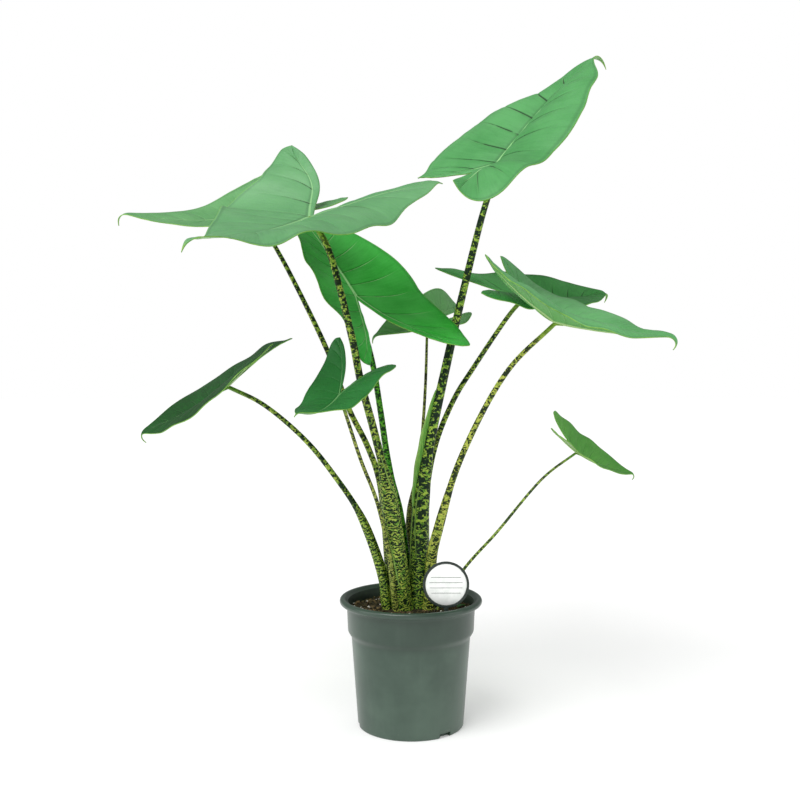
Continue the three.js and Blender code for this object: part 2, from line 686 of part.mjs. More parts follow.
function wingGeometry(leaf) {
  const curve = stalkCurve(leaf);
  const samples = 200;
  const frames = curve.computeFrenetFrames(samples, false);
  const side = THREE.MathUtils.degToRad(wing.side);
  const points = [];
  const triangles = [];
  for (let i = 0; i <= wing.steps; i += 1) {
    const t = i / wing.steps;
    const along = THREE.MathUtils.lerp(wing.from, wing.to, t);
    const tangent = frames.tangents[Math.round(along * samples)];
    const out = new THREE.Vector3(Math.cos(side), Math.sin(side), 0).projectOnPlane(tangent).normalize();
    const thick = new THREE.Vector3().crossVectors(tangent, out).multiplyScalar(wing.thickness / 2);
    const root = curve.getPointAt(along).addScaledVector(out, stalkRadius(leaf, along) + 2 * gap);
    const width = wing.least + wing.width * Math.sin(Math.PI * t) ** 0.8;
    const ripple = wing.wave * Math.sin(t * 3 * Math.PI);
    const edge = root.clone().addScaledVector(out, width).addScaledVector(thick, ripple);
    points.push(root.clone().add(thick), edge.clone().add(thick));
    points.push(edge.clone().sub(thick), root.clone().sub(thick));
  }
  for (let i = 0; i < wing.steps; i += 1) {
    for (let j = 0; j < 4; j += 1) {
      const [a, b] = [i * 4 + j, i * 4 + ((j + 1) % 4)];
      triangles.push([a, b + 4, b], [a, a + 4, b + 4]);
    }
  }
  const last = wing.steps * 4;
  triangles.push([0, 1, 2], [0, 2, 3], [last, last + 2, last + 1], [last, last + 3, last + 2]);
  return closedGeometry(points, triangles);
}

// Tag

function placeTag(geometry) {
  geometry.rotateX(Math.PI / 2 - THREE.MathUtils.degToRad(tag.lean));
  return geometry.translate(tag.x, tag.y, tag.z);
}

function tagFrameSolid() {
  const outer = tag.radius;
  const inner = tag.radius - tag.rimWidth;
  const half = tag.rimThickness / 2;
  const profile = [[inner, -half], [outer, -half], [outer, half], [inner, half], [inner, -half]];
  const section = profile.map(([r, z]) => new THREE.Vector2(r, z));
  const ring = new THREE.LatheGeometry(section, tag.segments).rotateX(Math.PI / 2);
  const length = tag.z - tag.stakeFoot;
  const outline = new THREE.Shape();
  outline.moveTo(-tag.stakeWidth / 2, -inner - 1);
  outline.lineTo(0, -length);
  outline.lineTo(tag.stakeWidth / 2, -inner - 1);
  const stake = new THREE.ExtrudeGeometry(outline, { depth: tag.rimThickness, bevelEnabled: false });
  stake.translate(0, 0, -half);
  return solidOf(placeTag(ring)).add(solidOf(placeTag(stake)));
}

function tagCardGeometry() {
  const radius = tag.radius - tag.rimWidth - gap;
  const card = new THREE.CylinderGeometry(radius, radius, tag.cardThickness, tag.segments);
  return placeTag(card.rotateX(Math.PI / 2));
}

// Assembly

const plant = new THREE.Group();

function addPiece(name, geometry, material) {
  const piece = new THREE.Mesh(geometry, material);
  piece.name = name;
  plant.add(piece);
}

addPiece('pot', geometryOf(potSolid()), finish(colours.pot, 0.5));
addPiece('corm', cormGeometry(0), finish(colours.corm, 0.9));

// Sheaths wrap one another at the foot: a stalk gives way to those before it, the rootstock and its blade
let earlier = solidOf(cormGeometry(gap));
for (const [name, leaf] of Object.entries(leaves)) {
  addPiece(`${name}_blade`, bladeGeometry(leaf, 0), finish(colours.blade, 0.45));
  const grownBlade = solidOf(bladeGeometry(leaf, gap));
  const stem = solidOf(stalkGeometry(leaf, 0)).subtract(earlier).subtract(grownBlade);
  addPiece(`${name}_stalk`, geometryOf(stem), finish(colours.stalk, 0.5));
  earlier = earlier.add(solidOf(stalkGeometry(leaf, gap)));
}
const wingSolid = solidOf(wingGeometry(leaves.leaf_a)).subtract(earlier);
addPiece('leaf_a_sheath_wing', geometryOf(wingSolid), finish(colours.wing, 0.6));

addPiece('tag_frame', geometryOf(tagFrameSolid()), finish(colours.tagFrame, 0.4));
addPiece('tag_card', tagCardGeometry(), finish(colours.tagCard, 0.35));

const stakeHole = tagFrameSolid().translate(gap, 0, 0)
  .add(tagFrameSolid().translate(-gap, 0, 0))
  .add(tagFrameSolid().translate(0, gap, -gap))
  .add(tagFrameSolid().translate(0, -gap, -gap));
addPiece('soil', geometryOf(soilSolid().subtract(earlier).subtract(stakeHole)), finish(colours.soil, 1));

export default plant;
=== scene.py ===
import math
import random

import bpy
import numpy as np
from mathutils import Matrix, Vector, noise


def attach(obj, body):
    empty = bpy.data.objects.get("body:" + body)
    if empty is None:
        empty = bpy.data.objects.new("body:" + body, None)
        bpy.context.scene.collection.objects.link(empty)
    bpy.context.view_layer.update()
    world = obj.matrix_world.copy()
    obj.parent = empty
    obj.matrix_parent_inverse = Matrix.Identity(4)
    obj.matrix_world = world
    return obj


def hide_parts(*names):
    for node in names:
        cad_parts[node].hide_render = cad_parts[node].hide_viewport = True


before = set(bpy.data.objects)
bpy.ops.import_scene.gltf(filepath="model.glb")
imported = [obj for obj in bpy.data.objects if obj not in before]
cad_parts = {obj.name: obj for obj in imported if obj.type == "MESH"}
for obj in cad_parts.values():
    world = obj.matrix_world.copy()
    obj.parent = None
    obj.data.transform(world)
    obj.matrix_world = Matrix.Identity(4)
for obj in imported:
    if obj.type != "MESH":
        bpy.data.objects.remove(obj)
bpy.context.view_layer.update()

mm = 0.001
upright = Vector((0, 0, 1))
print("frame: loaded,", len(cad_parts), "CAD nodes")

# Helpers for numbers, meshes and finishes


def smooth(x, low, high):
    t = np.clip((np.asarray(x, float) - low) / (high - low), 0, 1)
    return t * t * (3 - 2 * t)


def mix(a, b, t):
    return a + (b - a) * t


def paint(red, green, blue):  # a colour as seen, 0 to 255, to the linear one that shaders take
    seen = (red / 255, green / 255, blue / 255)
    return tuple(mix(c / 12.92, ((c + 0.055) / 1.055) ** 2.4, c > 0.04045) for c in seen) + (1.0,)


def ripple(points, scale, seed):  # smooth random values, -1 to 1, for rows of points in millimetres
    return np.array([noise.noise(Vector(p) * scale + Vector((seed, 3 * seed, -seed))) for p in points])


def unit(vector):
    return vector / np.linalg.norm(vector)


def lineTangents(line):
    steps = np.gradient(line, axis=0)
    return steps / np.linalg.norm(steps, axis=1)[:, None]


def pointAlong(line, at):  # a place between two points of a line
    return np.array([np.interp(at, range(len(line)), line[:, axis]) for axis in range(3)])


def addObject(name, points, faces):
    mesh = bpy.data.meshes.new(name)
    mesh.from_pydata([tuple(p) for p in points], [], [tuple(f) for f in faces])
    added = bpy.data.objects.new(name, mesh)
    bpy.context.scene.collection.objects.link(added)
    return added


# A piece of the plant. A face's finish is its place in the list, a map gives each point two numbers for the
# finishes to read, and the piece stands in for the nodes that are named.
def makePiece(name, points, faces, finishes, faceFinish=None, maps=None, stands=()):
    piece = addObject(name, points, faces)
    mesh = piece.data
    for finish in finishes:
        mesh.materials.append(finish)
    if faceFinish is not None:
        mesh.polygons.foreach_set("material_index", np.asarray(faceFinish, np.int32))
    corners = np.empty(len(mesh.loops), np.int32)
    mesh.loops.foreach_get("vertex_index", corners)
    for mapName, values in (maps or {}).items():
        layer = mesh.uv_layers.new(name=mapName)
        layer.data.foreach_set("uv", np.asarray(values, np.float32)[corners].ravel())
    mesh.polygons.foreach_set("use_smooth", np.full(len(mesh.polygons), True))
    mesh.validate()
    mesh.update()
    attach(piece, "root")
    if stands:
        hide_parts(*stands)
    return piece


def tubeFaces(rings, across, start=0):  # closed rings of points joined one to the next, with both ends shut
    faces = []
    for i in range(rings - 1):
        here, there = start + i * across, start + (i + 1) * across
        for j in range(across):
            k = (j + 1) % across
            faces.append((here + j, here + k, there + k, there + j))
    end = start + rings * across
    return faces + [tuple(range(start + across - 1, start - 1, -1)), tuple(range(end - across, end))]


class Wire:  # one output socket of a finish, on which sums are written as Python
    def __init__(self, finish, out):
        self.finish = finish
        self.out = out

    def sum(self, operation, *values):
        return self.finish.node("Math", {"operation": operation}, dict(enumerate(values)))

    def __add__(self, other):
        return self.sum("ADD", self, other)

    def __sub__(self, other):
        return self.sum("SUBTRACT", self, other)

    def __rsub__(self, other):
        return self.sum("SUBTRACT", other, self)

    def __mul__(self, other):
        return self.sum("MULTIPLY", self, other)

    def __truediv__(self, other):
        return self.sum("DIVIDE", self, other)

    def __abs__(self):
        return self.sum("ABSOLUTE", self)

    __radd__ = __add__
    __rmul__ = __mul__


class Finish:  # a material: uniform values on the shader's sockets, and what varies from nodes
    def __init__(self, name, **even):
        self.material = bpy.data.materials.new(name)
        self.material.use_nodes = True
        self.tree = self.material.node_tree
        self.tree.nodes.clear()
        self.shader = self.tree.nodes.new("ShaderNodeBsdfPrincipled")
        surface = self.tree.nodes.new("ShaderNodeOutputMaterial")
        self.tree.links.new(self.shader.outputs[0], surface.inputs[0])
        for socket, value in even.items():
            self.shader.inputs[socket.replace("_", " ")].default_value = value

    def node(self, kind, settings=None, sockets=None, out=0):
        made = self.tree.nodes.new("ShaderNode" + kind)
        for key, value in (settings or {}).items():
            setattr(made, key, value)
        for key, value in (sockets or {}).items():
            self.join(value, made.inputs[key])
        return Wire(self, made.outputs[out])

    def join(self, value, socket):
        if isinstance(value, Wire):
            self.tree.links.new(value.out, socket)
        else:
            socket.default_value = value

    def uv(self, name):
        return self.parts(self.node("UVMap", {"uv_map": name}))[:2]

    def parts(self, vector):
        split = self.node("SeparateXYZ", {}, {0: vector}).out.node
        return [Wire(self, out) for out in split.outputs]

    def place(self):
        return self.node("TexCoord", {}, {}, "Object")

    def stretch(self, place, scale):
        return self.node("VectorMath", {"operation": "MULTIPLY"}, {0: place, 1: scale})

    def noise(self, place, scale, detail=2, rough=0.5, distortion=0):
        grades = {"Detail": detail, "Roughness": rough, "Distortion": distortion}
        return self.node("TexNoise", {}, {"Vector": place, "Scale": scale, **grades})

    def cells(self, place, scale):  # how far a place is from the edges of its cell
        return self.node("TexVoronoi", {"feature": "DISTANCE_TO_EDGE"}, {"Vector": place, "Scale": scale})

    def step(self, value, low, high):
        sockets = {"Value": value, "From Min": low, "From Max": high}
        return self.node("MapRange", {"interpolation_type": "SMOOTHSTEP"}, sockets)

    def blend(self, amount, a, b):
        return self.node("Mix", {"data_type": "RGBA"}, {0: amount, 6: a, 7: b}, 2)

    def bump(self, height, strength, distance, under=None):
        sockets = {"Height": height, "Strength": strength, "Distance": distance}
        if under is not None:
            sockets["Normal"] = under
        return self.node("Bump", {}, sockets)

    def give(self, **varying):
        for socket, value in varying.items():
            self.join(value, self.shader.inputs[socket.replace("_", " ")])
        return self.material


# A plain finish of two tones: its grain is scale per metre, detail and roughness, and the same grain sets how
# rough the surface is and, with a strength and a height, its relief
def mottled(name, dark, light, gloss, grain, rough, relief=None, squeeze=(1, 1, 1)):
    finish = Finish(name, Specular_IOR_Level=gloss)
    tone = finish.noise(finish.stretch(finish.place(), squeeze), *grain)
    colour = finish.blend(finish.step(tone, 0.3, 0.7), paint(*dark), paint(*light))
    finish.give(Base_Color=colour, Roughness=rough[0] + tone * rough[1])
    if relief:
        finish.give(Normal=finish.bump(tone, *relief))
    return finish.material


# Blades

veins = [  # side veins of half a flat blade: (leaves the rib), (meets the margin), (meets the sinus)
    ((-0.6, 0.335), (-0.66, 0.34), (-0.66, 0.34)),
    ((-0.52, 0.285), (-0.64, 0.415), (-0.585, 0.26)),
    ((-0.42, 0.225), (-0.55, 0.475), (-0.46, 0.185)),
    ((-0.3, 0.155), (-0.4, 0.505), (-0.31, 0.115)),
    ((-0.17, 0.085), (-0.2, 0.5), (-0.16, 0.055)),
    ((0, 0), (0, 0.475), (-0.03, 0)),
    ((0.1, 0), (0.2, 0.42)),
    ((0.22, 0), (0.38, 0.35)),
    ((0.36, 0), (0.55, 0.27)),
    ((0.51, 0), (0.7, 0.19)),
    ((0.67, 0), (0.83, 0.105)),
    ((0.82, 0), (0.93, 0.04)),
    ((0.94, 0), (1, 0.012)),
    ((1.06, 0), (1.06, 0)),
]
junctionVein = 5
blade = {
    "thickness": 1.2, "keel": 1.8, "lobeLength": 0.66, "tipStart": 0.9, "tipLength": 0.16, "curlWidth": 0.5,
    "foldFade": 0.6, "foldFadeStart": 0.45, "waveWidth": 0.45, "wavesPerLobe": 2.2, "rightWaveShift": 0.27,
    "marginKnots": (-0.6, -0.33, -0.06, 0.2, 0.46, 0.72), "knotSpread": 0.17,
    "betweenVeins": (0, 0.03, 0.07, 0.14, 0.26, 0.4, 0.55, 0.7, 0.82, 0.9, 0.955),
    "across": (0, 0.008, 0.018, 0.034, 0.06, 0.1, 0.16, 0.24, 0.33, 0.43, 0.53, 0.63, 0.73, 0.82, 0.89,
               0.94, 0.975, 1),
    "acrossSinus": (0, 0.12, 0.3, 0.55, 0.8, 1),
    "veinBow": 0.035, "quilt": 1.5, "crease": 0.9, "ribRise": 0.8, "underVein": 0.7, "veinWidth": 0.035,
    "ribEdge": 0.034, "ribEdgeWidth": 0.016, "usualSize": 270,
}
leaves = {  # millimetres and degrees, as the solids have them
    "leaf_a": dict(
        at=(131, 38, 840), size=271, heading=32, pitch=48.6, roll=-10.4, twist=-0.9,
        droop=8.9, tipCurl=110, belly=0.12, phase=0.04,
        left=dict(fold=37.8, curl=-37.4, lobeDroop=-76.5, width=1.14, lobe=0.55, wave=0.01,
            swell=(-0.17, -0.01, -0.02, -0.13, 0.37, 0.05), lift=(-0.01, 0.02, 0.03, 0.02, -0.01, -0.23)),
        right=dict(fold=18.2, curl=-44.7, lobeDroop=-87, width=1.04, lobe=0.72, wave=-0.02,
            swell=(-0.16, 0.09, -0.07, 0.03, 0.01, 0.18), lift=(-0.2, 0, -0.03, -0.07, -0.07, -0.19)),
        route=((6, 2, 146), (11, 3, 177), (14, 14, 305), (24, 28, 394), (60, 62, 560), (72, 70, 612),
            (103, 60, 742), (115, 50, 786)),
        radius=(17, 12, 8, 4.2), sheathEnd=0.29),
    "leaf_b": dict(
        at=(-144, -48, 750), size=255, heading=236.9, pitch=-19.6, roll=4.2, twist=1.6,
        droop=-17.2, tipCurl=60, belly=-0.1, phase=0.27,
        left=dict(fold=1.2, curl=-61.6, lobeDroop=-4.5, width=1.14, lobe=1.13, wave=0.02,
            swell=(0.25, -0.22, -0.25, -0.11, 0.04, 0.1), lift=(0.17, 0.07, 0.02, 0.07, 0.11, -0.11)),
        right=dict(fold=13.1, curl=1.2, lobeDroop=-60.2, width=1.16, lobe=1.04, wave=0,
            swell=(0.01, -0.17, 0.17, 0.02, 0.07, -0.08), lift=(-0.05, 0.05, -0.02, 0.04, -0.01, -0.1)),
        route=((-6, -6, 146), (-12, -9, 180), (-27, -22, 311), (-37, -35, 372), (-54, -53, 446),
            (-72, -77, 518), (-81, -90, 568), (-90, -89, 606), (-100, -80, 645), (-120, -60, 709)),
        radius=(17, 12.8, 5.9, 4.2), sheathEnd=0.33),
    "leaf_c": dict(
        at=(-244, 115, 772), size=215, heading=179.6, pitch=-10.6, roll=-25.4, twist=9.6,
        droop=-24.9, tipCurl=110, belly=-0.18, phase=0.15,
        left=dict(fold=4.1, curl=9.2, lobeDroop=-13.9, width=1.01, lobe=1.08, wave=0.01,
            lift=(0.03, 0.02, 0, 0.04, -0.03, 0)),
        right=dict(fold=-0.9, curl=31.6, lobeDroop=3.1, width=1.09, lobe=0.55, wave=0.01,
            swell=(0.07, 0, -0.01, 0.01, -0.04, -0.01), lift=(0.06, 0, -0.02, 0.02, -0.05, -0.02)),
        route=((-14, 10, 146), (-25, 13, 180), (-43, 25, 349), (-65, 35, 413), (-94, 45, 470),
            (-123, 60, 548), (-182, 88, 668), (-211, 102, 720)),
        radius=(9, 7.5, 4.6, 3.1), sheathEnd=0.28),
    "leaf_d": dict(
        at=(-84, 45, 642), size=238, heading=127.3, pitch=43.6, roll=0, twist=-6.9,
        droop=6, tipCurl=60, belly=0.12, phase=0.08,
        left=dict(fold=19, curl=-3.2, lobeDroop=14.5, width=0.69, lobe=0.94, wave=0.03,
            swell=(0.02, -0.04, 0.03, 0.02, -0.04, -0.01), lift=(-0.01, 0.01, -0.04, -0.01, 0.01, 0)),
        right=dict(fold=10.1, curl=-1.2, lobeDroop=-29.1, width=1.02, lobe=1.13, wave=0,
            swell=(-0.02, 0.03, -0.03, -0.01, 0, -0.01), lift=(-0.02, 0, 0, 0.01, 0, -0.01)),
        route=((-2, 14, 146), (-4, 15, 174), (-13, 24, 273), (-26, 30, 348), (-36, 33, 401),
            (-46, 38, 469), (-59, 44, 545)),
        radius=(10, 9, 5, 4), sheathEnd=0.36),
    "leaf_e": dict(
        at=(178, 113, 641), size=190, heading=37.8, pitch=-3.3, roll=25.1, twist=8.4,
        droop=-17.9, tipCurl=120, belly=0.1, phase=0.13,
        left=dict(fold=15.1, curl=-18, lobeDroop=-5, width=0.94, lobe=1.09, wave=0.01,
            swell=(-0.03, -0.03, -0.05, 0.01, 0.01, 0.03), lift=(0, -0.02, -0.01, 0.01, 0.01, 0.01)),
        right=dict(fold=38.2, curl=-49.5, lobeDroop=4.3, width=0.98, lobe=1.11, wave=0.01,
            swell=(-0.02, 0, 0, 0, 0.01, 0), lift=(-0.03, -0.04, 0.03, 0, -0.01, 0)),
        route=((12, 20, 146), (20, 25, 180), (23, 38, 331), (39, 56, 417), (69, 72, 487), (96, 84, 529),
            (158, 106, 618)),
        radius=(9, 7, 4.6, 3.3), sheathEnd=0.3),
    "leaf_f": dict(
        at=(200, -84, 600), size=176, heading=-27.5, pitch=-13.4, roll=7.2, twist=15.7,
        droop=-13.6, tipCurl=130, belly=0.1, phase=0.7,
        left=dict(fold=19.6, curl=-38.5, lobeDroop=-44.1, width=1.14, lobe=1.26, wave=0.005,
            swell=(-0.08, 0.28, 0.18, -0.15, -0.02, -0.16), lift=(0.08, 0.07, 0.07, 0.05, 0, -0.23)),
        right=dict(fold=46.3, curl=-32, lobeDroop=-19.3, width=1.35, lobe=0.96, wave=0.01,
            swell=(0.1, 0.11, 0.24, -0.25, -0.03, -0.02), lift=(0.03, 0, 0.03, -0.07, -0.09, -0.15)),
        route=((18, -8, 146), (27, -10, 180), (31, -15, 256), (40, -19, 296), (71, -35, 401),
            (137, -65, 532)),
        radius=(10, 6.8, 4.9, 3), sheathEnd=0.36),
    "leaf_g": dict(
        at=(-269, -14, 508), size=162, heading=165.4, pitch=-34.1, roll=-18.1, twist=-19.7,
        droop=-14.6, tipCurl=120, belly=0.07, phase=0,
        left=dict(fold=20.4, curl=-28.5, lobeDroop=4.9, width=1.07, lobe=1.02, wave=0.01,
            swell=(-0.04, 0.08, 0.01, -0.03, 0.01, 0.02), lift=(-0.02, -0.01, 0, -0.02, 0, -0.04)),
        right=dict(fold=10.9, curl=-8.6, lobeDroop=-2.2, width=1.01, lobe=0.98, wave=0.01,
            swell=(0, -0.01, 0, -0.01, -0.01, 0.02), lift=(-0.01, 0.04, 0, 0, -0.05, 0.02)),
        route=((-22, -4, 146), (-35, -5, 180), (-40, -5, 218), (-73, -7, 312), (-114, -9, 376),
            (-156, -11, 428), (-218, -13, 481)),
        radius=(9.5, 6.6, 4.3, 2.9), sheathEnd=0.36),
    "leaf_h": dict(
        at=(-100, -110, 499), size=110, heading=239.3, pitch=-33.9, roll=-5.1, twist=1.5,
        droop=-49.8, tipCurl=60, belly=0.2, phase=0.8,
        left=dict(fold=20.2, curl=-18, lobeDroop=16.2, width=1, lobe=1.22, wave=0.01,
            lift=(-0.01, 0.04, 0.01, 0, -0.04, 0)),
        right=dict(fold=2.8, curl=-11.1, lobeDroop=-31.1, width=0.98, lobe=1.33, wave=0.01,
            swell=(0, -0.05, 0.03, -0.03, 0, 0), lift=(0, 0, 0.03, -0.02, 0, 0)),
        route=((-12, -16, 146), (-22, -22, 180), (-31, -29, 253), (-49, -48, 340), (-72, -71, 405),
            (-93, -100, 476)),
        radius=(5.5, 4.2, 3, 2.4), sheathEnd=0.3),
    "leaf_i": dict(
        at=(247, 4, 409), size=98, heading=11, pitch=-35, roll=19, twist=3,
        droop=-30, tipCurl=120, belly=0.1, phase=0.75,
        left=dict(fold=26, curl=-9, lobeDroop=-18, width=1.03, lobe=0.95, wave=0.01),
        right=dict(fold=15, curl=-3, lobeDroop=-6, width=1, lobe=1.03, wave=0.01),
        route=((24, -6, 146), (42, -14, 180), (80, -12, 238), (126, -9, 289), (198, -1, 372)),
        radius=(3.6, 2.8, 2.3, 1.8), sheathEnd=0.2),
    "leaf_j": dict(
        at=(27, 130, 599), size=116, heading=220.8, pitch=-12.8, roll=-10.7, twist=8.1,
        droop=-7.9, tipCurl=100, belly=0.1, phase=0.3,
        left=dict(fold=11.5, curl=-7.1, lobeDroop=-25.7, width=0.98, lobe=0.78, wave=0.01,
            swell=(-0.02, 0, 0, 0, 0.01, 0), lift=(0.02, 0, 0, 0, -0.02, -0.01)),
        right=dict(fold=21.6, curl=21.8, lobeDroop=22.5, width=1.01, lobe=1.3, wave=0.01,
            swell=(0.1, -0.01, -0.03, 0, -0.04, -0.07), lift=(0, 0.1, -0.02, 0, -0.02, -0.02)),
        route=((2, 26, 146), (2, 32, 180), (-1, 42, 290), (5, 46, 345), (14, 61, 390), (20, 78, 451),
            (24, 99, 512)),
        radius=(7, 6.6, 2.8, 2), sheathEnd=0.38),
}


def bladeAxes(leaf):
    heading, pitch, roll = (math.radians(leaf[k]) for k in ("heading", "pitch", "roll"))
    reach = math.cos(pitch)
    forward = np.array((math.cos(heading) * reach, math.sin(heading) * reach, math.sin(pitch)))
    level = np.array((-math.sin(heading), math.cos(heading), 0))
    left = level * math.cos(roll) + np.cross(forward, level) * math.sin(roll)
    return forward, left, np.cross(forward, left)


def ribSlope(leaf, side, u):
    back = math.radians(side["lobeDroop"]) * np.maximum(-u, 0) / blade["lobeLength"]
    front = -math.radians(leaf["droop"]) * np.maximum(u, 0)
    tip = smooth(u, blade["tipStart"], blade["tipStart"] + blade["tipLength"])
    return back + front - math.radians(leaf["tipCurl"]) * tip


def ribLine(leaf, side, u):  # the bent midrib, walked from the stalk in small steps
    step = 0.01
    walk = np.arange(0, 1.1, step)
    line = []
    for way in (-1, 1):
        slope = ribSlope(leaf, side, way * (walk + step / 2))
        x = way * np.concatenate(([0], np.cumsum(step * np.cos(slope))))
        z = way * np.concatenate(([0], np.cumsum(step * np.sin(slope))))
        line.append((x, z))
    at = np.concatenate((-np.append(walk, walk[-1] + step)[::-1], np.append(walk, walk[-1] + step)[1:]))
    x = np.concatenate((line[0][0][::-1], line[1][0][1:]))
    z = np.concatenate((line[0][1][::-1], line[1][1][1:]))
    return np.interp(u, at, x), np.interp(u, at, z)


def marginAmount(amounts, u):  # a margin's own swell or lift at u, from the amounts at the knots
    knots = np.array(blade["marginKnots"])
    return np.exp(-(((u[:, None] - knots) / blade["knotSpread"]) ** 2)) @ np.array(amounts)


def bendBlade(leaf, flatU, flatV):  # flat points of the blade to their places, in millimetres
    places = np.zeros((len(flatU), 3))
    forward, left, up = bladeAxes(leaf)
    for sign, side in ((1, leaf["left"]), (-1, leaf["right"])):
        chosen = flatV >= 0 if sign > 0 else flatV < 0
        u = np.where(flatU < 0, flatU * side["lobe"], flatU)[chosen]
        belly = 1 + leaf["belly"] * np.sin(np.pi * np.clip(u, 0, 1))
        none = (0,) * len(blade["marginKnots"])
        swell, raised = (marginAmount(side.get(key, none), flatU[chosen]) for key in ("swell", "lift"))
        v = np.abs(flatV[chosen]) * side["width"] * belly * (1 + swell)
        fold = math.radians(side["fold"]) * (1 - blade["foldFade"] * smooth(u, blade["foldFadeStart"], 1))
        curl = math.radians(side["curl"]) / blade["curlWidth"]
        across = (np.sin(fold + curl * v) - np.sin(fold)) / curl
        shift = leaf["phase"] + (blade["rightWaveShift"] if sign < 0 else 0)
        wave = side["wave"] * np.sin(2 * np.pi * (blade["wavesPerLobe"] * u + shift)) + raised
        wave = wave * (v / blade["waveWidth"]) ** 2
        lift = (np.cos(fold) - np.cos(fold + curl * v)) / curl + wave
        twist = math.radians(leaf["twist"]) * u
        y = sign * across * np.cos(twist) - lift * np.sin(twist)
        z = sign * across * np.sin(twist) + lift * np.cos(twist)
        slope = ribSlope(leaf, side, u)
        ribX, ribZ = ribLine(leaf, side, u)
        local = np.stack((ribX - z * np.sin(slope), y, ribZ + z * np.cos(slope)), 1)
        places[chosen] = np.array(leaf["at"]) + leaf["size"] * local @ np.stack((forward, left, up))
    return places


def alongVeins(kind, place):  # between two veins: straight for the rib, a smooth curve for a margin
    last = junctionVein if kind == 2 else len(veins) - 1
    i = min(int(place), last - 1)
    t = place - i
    point = lambda k: np.array(veins[min(max(k, 0), last)][kind], float)
    if kind == 0:
        return mix(point(i), point(i + 1), t)
    a, b, c, d = point(i - 1), point(i), point(i + 1), point(i + 2)
    return 0.5 * (2 * b + (c - a) * t + (2 * a - 5 * b + 4 * c - d) * t**2 + (3 * b - a - 3 * c + d) * t**3)


def bladeNet():  # the flat net: u, v, vein row and share of the way from rib to edge, and its triangles
    rows = [k + part for k in range(len(veins) - 1) for part in blade["betweenVeins"]] + [len(veins) - 1.0]
    junctionRow = rows.index(junctionVein)
    index, points, faces = {}, [], []

    def corner(sign, kind, row, j):
        shares = blade["across"] if kind == 1 else blade["acrossSinus"]
        lobeTip = row == 0 and j > 0
        t = 1 if lobeTip else shares[j]
        ends = row == len(rows) - 1
        middle = (j == 0 and row >= junctionRow) or ends or (kind == 2 and row == junctionRow)
        column = "rib" if ends or j == 0 else ("tip" if lobeTip else (kind, j))
        key = (0 if middle else sign, row, column)
        if key not in index:
            index[key] = len(points)
            rib, edge = alongVeins(0, rows[row]), alongVeins(kind, rows[row])
            u, v = mix(rib, edge, t)
            bow = blade["veinBow"] * math.sin(math.pi * t) if kind == 1 and 0 < row < len(rows) - 1 else 0
            length = np.linalg.norm(edge - rib)
            points.append((u - bow * length / 0.5, sign * v, rows[row], t if kind == 1 else -t, sign))
        return index[key]

    def addFace(sign, loop):
        loop = [p for k, p in enumerate(loop) if p != loop[k - 1]]
        if len(loop) > 2:
            faces.append(loop if sign > 0 else loop[::-1])

    for sign in (1, -1):
        for row in range(len(rows) - 1):
            for j in range(len(blade["across"]) - 1):
                addFace(sign, [corner(sign, 1, row + a, j + b) for a, b in ((0, 0), (1, 0), (1, 1), (0, 1))])
        for row in range(junctionRow):
            for j in range(len(blade["acrossSinus"]) - 1):
                addFace(sign, [corner(sign, 2, row + a, j + b) for a, b in ((0, 0), (0, 1), (1, 1), (1, 0))])
    return np.array(points), faces


flatPoints, flatFaces = bladeNet()


def faceNormals(points, faces):  # a normal for each point
    normals = np.zeros_like(points)
    for loop in faces:
        for k in range(1, len(loop) - 1):
            a, b, c = points[loop[0]], points[loop[k]], points[loop[k + 1]]
            n = np.cross(b - a, c - a)
            for p in (loop[0], loop[k], loop[k + 1]):
                normals[p] += n
    return normals / np.maximum(np.linalg.norm(normals, axis=1), 1e-12)[:, None]


